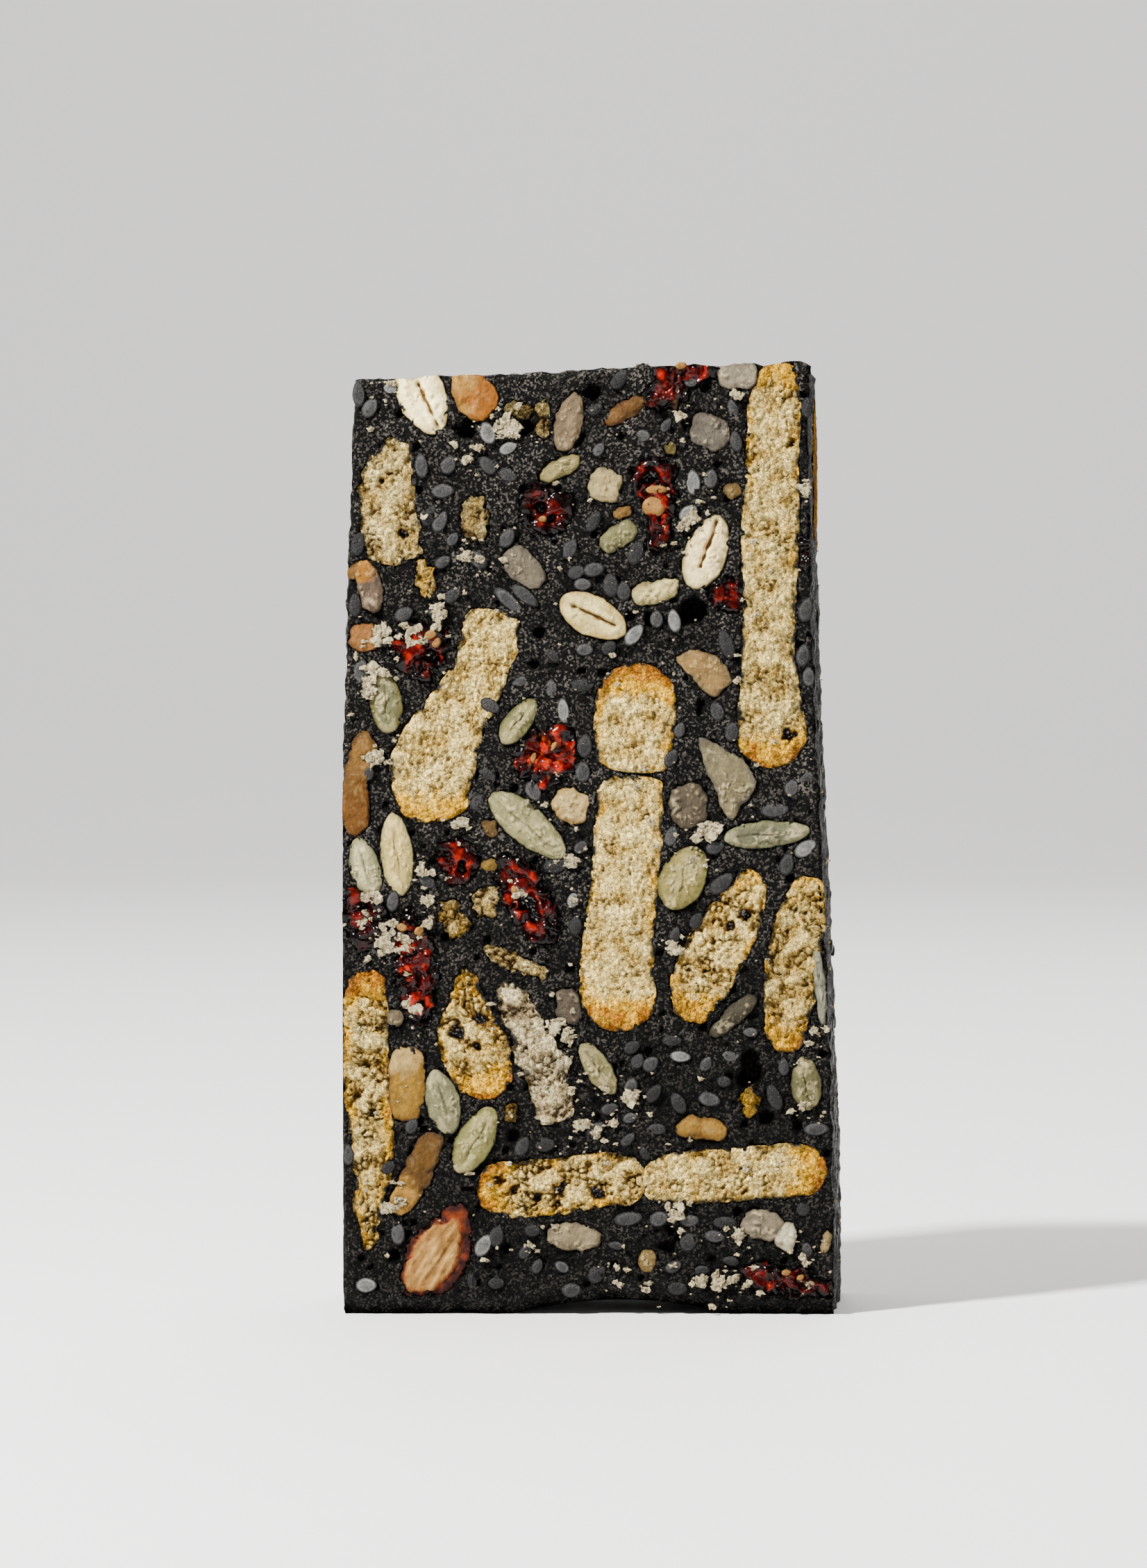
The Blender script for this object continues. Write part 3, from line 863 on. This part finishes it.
def drawBits(name, rows, kind, firstSeed, material):
    joined = newTinted()
    for number, row in enumerate(rows):
        mergeInto(joined, drawLump("bit", row, kind, firstSeed + 2.3 * number))
    keepPiece(joined)
    finishPiece(joined, name, material)


drawBits("small-nut-bits", bits, nutKind, 50, nutMaterial)
drawBits("cracker-bits", fragments, fragmentKind, 90, crackerMaterial)
drawBits("cranberry-bits", smallBerries, berryKind, 130, berryMaterial)
print("bits drawn")

# the nougat itself, with its large pits as x, z, radius. small ones are scattered, found again by cells
pitting = {"count": 260, "least": 0.22, "most": 0.42, "cell": 3, "evenFrom": 0.43}
pits = (
    (-13.4, 95.1, 0.9), (-7.0, 95.4, 0.7), (0.0, 99.2, 0.8), (-20.6, 96.8, 0.45), (-18.9, 93.4, 0.45),
    (-5.7, 73.4, 0.6), (-6.2, 70.0, 0.5), (10.9, 75.8, 1.4), (4.0, 75.2, 0.5), (-15.7, 40.7, 0.45),
    (-2.3, 37.4, 0.45), (-21.3, 6.3, 0.6), (-9.2, 7.1, 0.45), (-8.5, 19.3, 0.6), (18.8, 21.2, 0.7),
    (22.1, 20.4, 0.5), (8.3, 7.3, 0.65), (21.2, 47.0, 0.4), (17.0, 27.6, 0.9), (17.2, 26.0, 1.1),
    (16.4, 25.2, 0.7), (11.5, 65.0, 0.4), (6.3, 74.9, 0.7), (-18.6, 20.9, 0.4),
)


# says where a spot is taken by a piece, on the front or the back
class Room:
    def __init__(self, meshes):
        points, faces = [], []
        for verts, polygons in meshes:
            start = len(points)
            points += verts
            faces += [[start + i for i in polygon] for polygon in polygons]
        self.tree = BVHTree.FromPolygons(points, faces)

    def covered(self, x, z, side):
        hit = self.tree.ray_cast(Vector((x, side * 14, z)), Vector((0, -side, 0)), 7)
        return hit[0] is not None

    def near(self, x, z, side, reach):
        return self.tree.find_nearest(Vector((x, side * block["face"], z)), reach)[3]


room = Room(pieceMeshes)
draws = random.Random(7)
randomPits = [(draws.uniform(-26, 26), draws.uniform(3, 100), draws.uniform(pitting["least"], pitting["most"]), side)
              for side in (-1, 1) for _ in range(pitting["count"])]
allPits = [(x, z, r, -1) for x, z, r in pits] + [(x, z, r * 1.1, 1) for x, z, r in pits[::2]] + randomPits
pitCells = {}


def pitCell(x, z):
    return int(x // pitting["cell"]), int(z // pitting["cell"])


for x, z, r, side in allPits:
    pitCells.setdefault((*pitCell(x, z), side), []).append((x, z, r))


def pitDepth(x, z, side):
    column, row = pitCell(x, z)
    depth = 0.0
    for i in (-1, 0, 1):
        for j in (-1, 0, 1):
            for px, pz, r in pitCells.get((column + i, row + j, side), ()):
                uneven = 0.18 if r > pitting["evenFrom"] else 0.45
                gap = math.hypot(x - px, z - pz) / r + uneven * grain(x, px, z, 0.5, 4.0)
                if gap < 1.3:
                    depth = max(depth, (0.35 + 1.5 * r) * (1 - ramp(gap, 0.75, 1.2)))
    return depth


def nougatRelief(x, y, z):
    relief = 0.36 * grain(x, y, z, 4.2) + 0.24 * grain(x, y, z, 1.7, 3.0) + 0.2 * grain(x, y, z, 0.8, 5.0)
    return relief + 0.12 * grain(x, y, z, 0.45, 7.0) - 0.2


def drawNougat():
    wide, tall = int(54 / block["grid"]), int(102 / block["grid"])
    bm = drawSlab(wide, tall, int(20 / block["wallGrid"]))
    # twice as fine on the shown face
    shown = [e for e in bm.edges if all(v.co.z < 0.001 for v in e.verts)]
    bmesh.ops.subdivide_edges(bm, edges=shown, cuts=1, use_grid_fill=True)
    tint = bm.verts.layers.float_color.new("tint")
    face = block["face"]
    for v in bm.verts:
        u, w, through = v.co.x + 0.5, v.co.y + 0.5, v.co.z
        y = -face + 2 * face * through
        z = footEdge(-27 + 53 * u) * (1 - w) + w * 101.5
        left, right = leftEdge(z), rightEdge(z, y)
        x = left + (right - left) * u
        z = footEdge(x) * (1 - w) + w * topEdge(x)
        side = -1 if through == 0 else 1 if through == 1 else 0
        atSide, outward = min(u, 1 - u) < 1e-4, 1 if u > 0.5 else -1
        atFoot, atTop = w < 1e-4, w > 1 - 1e-4
        relief = nougatRelief(x, y, z)
        colour = mix((0.0003, 0.0003, 0.0003), (0.0037, 0.0035, 0.0033), 0.8 + 1.5 * relief)
        # darker towards the foot and round the deep pits at the lower right
        deepTone = 0.45 + 0.55 * ramp(z, 0, 55) + 0.15 * ramp(z, 55, 100)
        deepTone -= 0.3 * math.exp(-((x - 12) / 7) ** 2 - ((z - 26) / 7) ** 2)
        colour = [deepTone * c for c in colour]
        edgeGap = min(x - left, right - x, topEdge(x) - z)
        footGap = z - footEdge(x)
        if side:
            worn = 0.45 * (1 - ramp(edgeGap, 0.0, 0.7)) + 1.3 * (1 - ramp(footGap, 0.0, 2.4)) ** 2
            sink = -relief + worn
            pit = pitDepth(x, z, side)
            distance = room.near(x, z, side, 0.7)
            smearX = 0.75 * grain(x, 3.0, z, 1.1, 2.0) + 0.4 * grain(x, 3.0, z, 0.45, 6.0)
            smearZ = 0.75 * grain(x, 5.0, z, 1.1, 4.0) + 0.4 * grain(x, 5.0, z, 0.45, 8.0)
            under = room.covered(x, z, side)
            if under and room.covered(x + smearX, z + smearZ, side):
                sink = 1.1
                colour = (0.012, 0.012, 0.013)
            elif under:
                sink = 0.03 - 0.3 * relief
            else:
                sink += pit
                colour = mix(colour, (0.0004, 0.0004, 0.0004), 2 * pit)
                if distance is not None:
                    sink += 0.12 * (1 - ramp(distance, 0.0, 0.4))
            y += -side * sink
        else:
            # walls go in and out instead, less so at the foot, which stays flat
            push = relief * 0.9
            worn = 0.4 * (1 - ramp(min(y + face, face - y), 0.0, 0.7))
            if atSide:
                x += (push - worn) * outward
            if atTop:
                z += push * 0.7 - worn
            if atFoot:
                z = max(z + worn, 0.0)
                y *= 0.94
        if side:
            if atSide:
                x += (relief - 0.35) * outward * 0.9
            if atTop:
                z += relief * 0.7 - 0.25
        v.co = (x, y, z)
        v[tint] = (*colour, 1)
    return bm


bm = drawNougat()
print("nougat drawn", sum(len(f.verts) - 2 for f in bm.faces), "triangles")
finishPiece(bm, "nougat-block", nougatMaterial, ("nougat",))

# sesame seeds, cut or whole: x, z, length, width, turn, 1 for a light one
shownSesame = (
    (-25.0, 99.0, 2.9, 1.3, 92, 0), (-23.8, 97.5, 2.4, 1.5, 60, 0), (-21.6, 99.6, 1.6, 1.2, 0, 1),
    (-18.3, 91.3, 2.8, 1.4, 95, 0), (-15.4, 91.4, 2.2, 1.6, 60, 0), (-16.0, 88.6, 2.6, 1.5, 5, 0),
    (-17.4, 86.0, 2.6, 1.3, 65, 0), (-16.3, 85.3, 2.6, 1.4, 62, 0), (-9.0, 90.3, 2.2, 1.4, -20, 0),
    (-11.2, 94.8, 2.6, 1.7, 110, 1), (-9.1, 83.6, 2.4, 1.5, 60, 0), (-8.9, 76.8, 4.2, 1.4, -42, 0),
    (-7.2, 77.4, 3.6, 1.4, -38, 0), (-20.2, 75.4, 2.2, 1.5, 30, 0), (-25.4, 76.4, 2.6, 1.3, 90, 0),
    (-24.8, 69.3, 2.8, 1.7, 85, 0), (-25.1, 82.9, 2.6, 1.4, 80, 0), (-2.4, 82.4, 2.4, 1.5, 60, 0),
    (-1.7, 79.9, 2.0, 1.4, 20, 0), (-1.0, 78.6, 2.0, 1.3, 0, 0), (2.9, 100.5, 2.4, 1.4, 50, 0),
    (10.8, 89.5, 2.9, 1.6, 92, 1), (12.7, 89.9, 2.2, 1.5, 80, 0), (10.3, 86.2, 2.4, 1.6, 40, 1),
    (4.7, 82.0, 2.8, 1.6, 70, 0), (0.2, 80.2, 2.4, 1.5, 10, 0), (2.0, 78.5, 2.6, 1.7, 95, 0),
    (3.4, 77.9, 2.2, 1.5, 90, 0), (6.9, 74.9, 2.0, 1.4, 90, 0), (8.8, 74.7, 2.7, 1.4, 100, 1),
    (4.5, 73.2, 2.9, 1.5, 50, 1), (1.8, 71.8, 1.8, 1.4, 40, 0), (-0.8, 71.6, 2.0, 1.3, 0, 0),
    (14.4, 72.2, 3.4, 1.6, 108, 0), (15.4, 93.9, 2.4, 1.3, 100, 0), (10.6, 100.2, 1.6, 1.0, 0, 0),
    (23.0, 97.5, 2.2, 1.2, 90, 0), (22.9, 75.9, 2.8, 1.5, 75, 0), (22.6, 71.0, 2.6, 1.4, 80, 0),
    (23.2, 68.7, 2.2, 1.3, 90, 0), (-1.1, 67.8, 2.8, 1.4, 5, 0), (-3.1, 65.1, 2.8, 1.3, 95, 1),
    (-0.8, 61.3, 2.6, 1.6, 85, 0), (-1.0, 58.5, 2.4, 1.6, 85, 0), (-3.9, 48.4, 2.8, 1.5, 8, 0),
    (-6.3, 56.4, 2.4, 1.6, -60, 0), (-12.3, 55.2, 2.0, 1.4, 70, 0), (-1.2, 50.4, 1.8, 1.2, 40, 0),
    (-1.8, 42.0, 2.2, 1.4, 80, 0), (-10.9, 65.6, 2.4, 1.4, -30, 0), (-21.4, 44.6, 2.4, 1.3, 80, 0),
    (-19.4, 20.4, 1.9, 1.3, 60, 0), (-26.2, 17.3, 2.4, 1.1, 90, 0), (-21.9, 15.9, 1.8, 1.2, 40, 0),
    (-20.9, 8.8, 2.6, 1.5, 90, 0), (-10.3, 8.5, 2.4, 1.6, 75, 0), (-6.4, 9.1, 1.8, 1.3, 0, 0),
    (-24.3, 3.2, 2.4, 1.6, 0, 1), (-2.2, 2.7, 2.2, 1.5, 5, 0), (-7.5, 18.2, 2.4, 1.4, 60, 0),
    (-11.7, 7.5, 2.8, 1.6, 60, 1), (4.3, 28.9, 2.0, 1.3, 30, 0), (4.9, 27.4, 1.8, 1.3, 60, 0),
    (6.3, 27.1, 2.0, 1.5, 40, 0), (9.5, 27.9, 2.4, 1.2, -5, 1), (8.6, 29.6, 2.2, 1.1, 0, 0),
    (4.2, 24.7, 2.0, 1.4, 70, 0), (19.6, 23.5, 3.0, 1.5, 112, 0), (20.6, 26.8, 2.0, 1.2, 90, 0),
    (24.1, 20.1, 2.8, 1.4, 4, 0), (12.6, 23.3, 2.6, 1.5, -12, 0), (14.2, 25.2, 1.6, 1.2, 0, 0),
    (3.9, 10.4, 3.2, 1.5, 8, 0), (7.2, 10.4, 2.2, 1.6, 20, 0), (10.5, 10.2, 2.2, 1.3, 5, 0),
    (14.3, 10.0, 2.6, 1.3, 0, 0), (10.3, 7.9, 2.2, 1.7, 80, 0), (13.2, 8.5, 2.4, 1.3, -8, 0),
    (9.2, 2.9, 2.2, 1.3, 0, 0), (22.8, 11.6, 2.0, 1.4, 60, 0), (20.9, 48.6, 2.6, 1.5, 75, 0),
    (22.9, 50.3, 2.8, 1.6, 35, 1), (19.6, 54.4, 3.2, 1.5, 4, 0), (23.0, 57.7, 2.2, 1.4, 60, 0),
    (21.4, 56.8, 2.0, 1.5, 70, 0), (13.4, 65.0, 2.2, 1.5, 110, 0), (15.0, 62.8, 2.2, 1.5, 80, 0),
    (9.4, 63.0, 1.8, 1.2, 70, 0), (8.5, 60.0, 2.2, 1.3, 60, 0), (13.9, 46.5, 3.2, 1.6, 40, 0),
    (11.2, 42.5, 2.0, 1.3, 60, 0), (13.2, 50.4, 2.2, 1.4, 20, 0), (8.5, 51.6, 2.4, 1.4, 70, 0),
    (-24.0, 58.4, 1.8, 1.2, 80, 0), (-16.0, 81.0, 2.0, 1.2, 30, 0),
)
sesame = {
    "counts": {"front": 60, "back": 190, "left": 34, "right": 34, "top": 26},
    "shortest": 1.7, "longest": 2.8, "lightShare": 0.06, "tries": 40,
}


def drawSesame(spot, outward, turn, length, width, light, seed):
    bm = bmesh.new()
    bmesh.ops.create_uvsphere(bm, u_segments=16, v_segments=12, radius=1)
    tint = bm.verts.layers.float_color.new("tint")
    upright = outward.to_track_quat("Z", "Y").to_matrix()
    spin = upright @ Matrix.Rotation(math.radians(turn), 3, "Z")
    shade = mix((0.002, 0.002, 0.0021), (0.024, 0.0235, 0.0235), 0.38 + 2.4 * grain(seed, 0, 0, 1.7))
    core = (0.085, 0.084, 0.08) if light else shade
    for v in bm.verts:
        local = v.co.copy()
        narrow = 1 - 0.12 * local.x
        blunt = 1 - 0.06 * (1 - abs(local.x))
        top = local.z * 0.3 if local.z > 0 else local.z
        rim = math.hypot(local.x, local.y)
        colour = [c * (1 + 0.5 * grain(local.x, seed, local.y, 0.5)) for c in core]
        colour = mix(colour, [1.7 * c + 0.004 for c in core], ramp(rim, 0.55, 0.72))
        colour = mix(colour, (0.0005, 0.0005, 0.0005), ramp(rim, 0.8, 0.9))
        v.co = Vector((local.x * length / 2, local.y * width / 2 * narrow / blunt, top * 0.6 + 0.02))
        v.co = spin @ v.co + spot
        v[tint] = (*colour, 1)
    return bm


# a place on a side of the bar, with the way out of it
def spotOn(face, a, b):
    z = 3 + a * 95
    y = (b - 0.5) * 17
    if face == "top":
        x = -24 + a * 45
        return Vector((x, y, topEdge(x))), Vector((0, 0, 1))
    if face == "left":
        return Vector((leftEdge(z), y, z)), Vector((-1, 0, 0))
    if face == "right":
        return Vector((rightEdge(z, y), y, z)), Vector((1, 0, 0))
    side = -1 if face == "front" else 1
    x = leftEdge(z) + 1.4 + b * (rightEdge(z, 0) - leftEdge(z) - 2.8)
    return Vector((x, side * block["face"], z)), Vector((0, side, 0))


joined = newTinted()
taken = []
for number, (x, z, length, width, turn, light) in enumerate(shownSesame):
    spot = Vector((x, -block["face"] + 0.12, z))
    taken.append((spot, length / 2))
    mergeInto(joined, drawSesame(spot, Vector((0, -1, 0)), turn, length, width, light, number * 1.3))
for x, z, r in pits:
    taken.append((Vector((x, -block["face"], z)), r))
draws = random.Random(19)
for face, count in sesame["counts"].items():
    placed = 0
    for _ in range(count * sesame["tries"]):
        if placed == count:
            break
        spot, outward = spotOn(face, draws.random(), draws.random())
        length = draws.uniform(sesame["shortest"], sesame["longest"])
        near = room.tree.find_nearest(spot, length / 2 + 0.25)[3]
        crowded = any((spot - other).length < length / 2 + reach + 0.1 for other, reach in taken)
        if near is not None or crowded:
            continue
        taken.append((spot, length / 2))
        bedded = spot - outward * draws.uniform(0.1, 0.3)
        light = draws.random() < sesame["lightShare"]
        width = length * draws.uniform(0.5, 0.68)
        turn = draws.uniform(0, 180)
        mergeInto(joined, drawSesame(bedded, outward, turn, length, width, light, placed * 2.1))
        placed += 1
    print("sesame", face, placed)
finishPiece(joined, "sesame-seeds", sesameMaterial)

# heaps of off-white crumbs: x, z, width, height
shownCrumbs = (
    (-9.1, 95.2, 2.5, 2.3), (-16.5, 75.4, 1.4, 2.9), (-19.3, 73.0, 2.7, 1.8), (-22.8, 73.4, 1.8, 1.8),
    (-23.1, 69.2, 2.9, 1.4), (-22.0, 41.0, 2.8, 3.3), (-19.8, 39.9, 2.0, 1.4), (-23.8, 45.0, 1.9, 1.4),
    (-24.5, 42.4, 1.4, 1.2), (-14.0, 53.0, 1.8, 1.6), (-23.3, 60.2, 2.2, 2.0), (-18.0, 47.6, 1.3, 1.0),
    (-17.8, 44.7, 1.2, 1.2), (-17.7, 42.2, 1.0, 0.9), (-2.3, 48.8, 1.4, 1.5), (-8.0, 45.6, 1.5, 1.0),
    (-2.0, 44.8, 0.9, 0.8), (12.4, 52.3, 2.1, 2.0), (11.3, 51.4, 1.2, 1.1), (8.8, 39.7, 1.9, 1.7),
    (9.0, 11.0, 1.4, 1.9), (4.0, 23.4, 1.9, 1.7), (15.6, 8.6, 1.2, 1.0), (22.8, 6.0, 1.1, 1.3),
    (13.5, 3.6, 1.6, 1.1), (15.2, 3.7, 1.3, 0.9), (11.5, 3.8, 1.8, 0.9), (16.6, 3.4, 0.9, 0.8),
    (23.5, 3.4, 1.2, 0.8), (24.0, 30.6, 1.0, 1.2), (-1.2, 20.6, 1.6, 0.9), (0.4, 19.6, 1.2, 1.0),
    (2.2, 20.8, 1.2, 0.8), (-3.4, 31.2, 2.2, 1.6), (-2.6, 29.8, 1.2, 1.1), (-2.9, 27.4, 1.3, 1.2),
    (-19.0, 33.0, 1.8, 1.3), (22.9, 88.8, 1.3, 1.4), (15.5, 98.7, 1.4, 0.9), (9.5, 96.7, 1.2, 0.8),
    (-12.3, 93.2, 1.0, 0.9), (-13.5, 91.9, 1.0, 0.8), (-13.4, 81.7, 1.3, 1.1), (-12.0, 81.2, 0.9, 0.9),
    (-21.9, 11.6, 1.8, 1.3), (-20.6, 12.2, 1.0, 0.9), (-6.6, 7.6, 1.0, 0.8), (10.8, 85.7, 1.9, 1.0),
    (-23.9, 66.9, 1.6, 1.2), (-24.0, 68.3, 1.6, 0.9), (1.2, 24.6, 0.9, 0.9), (10.0, 84.9, 1.0, 0.9),
    (2.9, 3.4, 0.8, 0.7), (10.8, 49.2, 1.0, 0.9), (-21.6, 100.2, 0.9, 0.8), (22.6, 22.6, 1.0, 0.9),
)


def drawCrumb(spot, outward, wide, tall, seed):
    bm = bmesh.new()
    bmesh.ops.create_icosphere(bm, subdivisions=2, radius=1)
    tint = bm.verts.layers.float_color.new("tint")
    upright = outward.to_track_quat("Z", "Y").to_matrix()
    size = Vector((wide / 2, tall / 2, min(wide, tall) * 0.4))
    for v in bm.verts:
        local = v.co.copy()
        rough = 1 + 1.4 * grain(*local, 0.8, seed) + 1.1 * grain(*local, 0.4, seed)
        v.co = upright @ Vector((local.x * size.x, local.y * size.y, local.z * size.z)) * rough + spot
        pale = 0.45 + 1.3 * grain(local.x, seed, local.z, 0.5)
        v[tint] = (*mix((0.16, 0.13, 0.07), (0.62, 0.53, 0.33), pale), 1)
    return bm


# crumbs that would hang beyond the face come back onto it
def keepOnFace(spot):
    spot.z = max(0.9, min(topEdge(spot.x) - 0.5, spot.z))
    spot.x = max(leftEdge(spot.z) + 0.5, min(rightEdge(spot.z, spot.y) - 0.5, spot.x))
    return spot


joined = newTinted()
frontOut = Vector((0, -1, 0))
for number, (x, z, wide, tall) in enumerate(shownCrumbs):
    lots = random.Random(number)
    pieces = 6 + int(wide * tall * 3.5)
    for k in range(pieces):
        offset = Vector((lots.gauss(0, 0.23) * wide, 0, lots.gauss(0, 0.23) * tall))
        spot = keepOnFace(Vector((x, -block["face"] - lots.uniform(0.0, 0.25), z)) + offset)
        size = lots.uniform(0.35, 0.95) * min(1.0, (wide + tall) / 3)
        mergeInto(joined, drawCrumb(spot, frontOut, size, size * lots.uniform(0.5, 1.3), number + k * 0.37))
draws = random.Random(31)
crumbCounts = {"front": 640, "back": 260, "left": 50, "right": 50, "top": 40}
for face, count in crumbCounts.items():
    for k in range(count):
        spot, outward = spotOn(face, draws.random(), draws.random())
        if face == "front" and k % 5 < 3:
            near = draws.choice(shownCrumbs)
            x = near[0] + draws.gauss(0, 1.7)
            z = near[1] + draws.gauss(0, 1.7)
            spot = keepOnFace(Vector((x, -block["face"], z)))
        size = 0.2 + 0.6 * draws.random() ** 5
        tall = size * draws.uniform(0.4, 1)
        mergeInto(joined, drawCrumb(spot + outward * 0.02, outward, size, tall, k * 0.7))
finishPiece(joined, "crumbs", crumbMaterial, smooth=False)

# tan pips in the berries: x, z, width, height, turn
pips = (
    (6.9, 88.7, 1.0, 2.3, 90), (6.6, 86.9, 2.5, 2.2, 0), (-17.3, 73.2, 1.5, 1.0, 20),
    (-16.7, 72.4, 1.2, 0.9, 60), (-20.4, 41.8, 1.2, 0.9, 0), (-18.6, 41.4, 1.1, 0.9, 30),
    (-4.2, 61.2, 1.3, 0.6, 50), (-6.3, 60.0, 1.2, 0.6, 70), (20.9, 4.6, 1.1, 0.7, 0),
    (22.4, 4.1, 0.9, 0.6, 30), (-8.3, 45.9, 1.1, 0.8, 80), (-5.3, 85.6, 0.9, 0.7, 0),
    (9.5, 102.0, 1.2, 0.8, 10),
)
joined = newTinted()
for number, (x, z, wide, tall, turn) in enumerate(pips):
    bm = bmesh.new()
    bmesh.ops.create_uvsphere(bm, u_segments=20, v_segments=12, radius=1)
    tint = bm.verts.layers.float_color.new("tint")
    spin = Matrix.Rotation(math.radians(-turn), 3, "Y")
    for v in bm.verts:
        v[tint] = (*mix((0.14, 0.06, 0.01), (0.24, 0.12, 0.03), 0.5 + grain(v.co.x, number, v.co.z, 0.8)), 1)
        v.co = spin @ Vector((v.co.x * wide / 2, v.co.y * 0.45, v.co.z * tall / 2))
        v.co += Vector((x, -block["face"] - 0.05, z))
    mergeInto(joined, bm)
finishPiece(joined, "berry-pips", nutMaterial)
print("seeds, crumbs and pips scattered")

# studio: a pale floor that curves up behind, and soft light from the upper left, in metres
studio = {
    "floorHalf": 1.6, "wallHeight": 2.2, "bend": 0.7, "bendSteps": 16, "floorColour": (0.78, 0.78, 0.8, 1),
    "floorRough": 0.7, "skyColour": (1.0, 0.98, 0.96, 1), "skyStrength": 0.07, "lightColour": (1.0, 0.97, 0.92),
}
lights = {
    "key": {"place": (-0.32, -0.27, 0.5), "aim": (0, 0, 0.05), "size": 0.05, "power": 17.5},
    "fill": {"place": (0.5, -0.6, 0.3), "aim": (0, 0, 0.05), "size": 0.4, "power": 0.6},
    "rim": {"place": (0.1, 0.5, 0.6), "aim": (0, 0, 0.08), "size": 0.4, "power": 4.0},
    "backdrop": {"place": (0.0, 0.3, 1.3), "aim": (0, 1.6, 0.5), "size": 1.0, "power": 26.0},
}


def drawFloor():
    bm = bmesh.new()
    bmesh.ops.create_grid(bm, x_segments=1, y_segments=1, size=studio["floorHalf"])
    farOff = studio["floorHalf"] - 0.1
    backEdge = [e for e in bm.edges if all(v.co.y > farOff for v in e.verts)]
    raised = bmesh.ops.extrude_edge_only(bm, edges=backEdge)
    for v in raised["geom"]:
        if isinstance(v, bmesh.types.BMVert):
            v.co.z += studio["wallHeight"]
    fold = [e for e in bm.edges if all(v.co.y > farOff and v.co.z < 0.1 for v in e.verts)]
    bmesh.ops.bevel(bm, geom=fold, offset=studio["bend"], segments=studio["bendSteps"], profile=0.5,
                    affect="EDGES", material=-1)
    for face in bm.faces:
        face.smooth = True
    return bm


floorMaterial = bpy.data.materials.new("floor")
floorMaterial.use_nodes = True
floorShader = floorMaterial.node_tree.nodes["Principled BSDF"]
floorShader.inputs["Base Color"].default_value = studio["floorColour"]
floorShader.inputs["Roughness"].default_value = studio["floorRough"]
floorMesh = bpy.data.meshes.new("floor")
bm = drawFloor()
bm.to_mesh(floorMesh)
bm.free()
floorMesh.materials.append(floorMaterial)
floor = bpy.data.objects.new("floor", floorMesh)
bpy.context.scene.collection.objects.link(floor)

world = bpy.data.worlds.new("studio")
world.use_nodes = True
world.node_tree.nodes["Background"].inputs["Color"].default_value = studio["skyColour"]
world.node_tree.nodes["Background"].inputs["Strength"].default_value = studio["skyStrength"]
bpy.context.scene.world = world


def addLight(name, settings):
    data = bpy.data.lights.new(name, "AREA")
    data.size = settings["size"]
    data.energy = settings["power"]
    data.color = studio["lightColour"]
    light = bpy.data.objects.new(name, data)
    light.location = settings["place"]
    outlook = Vector(settings["aim"]) - Vector(settings["place"])
    light.rotation_euler = outlook.to_track_quat("-Z", "Y").to_euler()
    bpy.context.scene.collection.objects.link(light)


for name, settings in lights.items():
    addLight(name, settings)
print("studio set")

# the photo's own view: a long lens a little above the middle. aim is in the bar's millimetres
view = {"lens": 130, "sensor": 36, "nearest": 0.01, "aim": (-2.255, -10, 57.2), "eyeOffset": (0.006, -0.607, 0.0212)}
cameraData = bpy.data.cameras.new("camera")
cameraData.lens = view["lens"]
cameraData.sensor_width = view["sensor"]
cameraData.clip_start = view["nearest"]
camera = bpy.data.objects.new("camera", cameraData)
aim = Vector(view["aim"]) * mm
eye = aim + Vector(view["eyeOffset"])
camera.location = eye
camera.rotation_euler = (aim - eye).to_track_quat("-Z", "Y").to_euler()
bpy.context.scene.collection.objects.link(camera)
bpy.context.scene.camera = camera

bpy.context.view_layer.update()
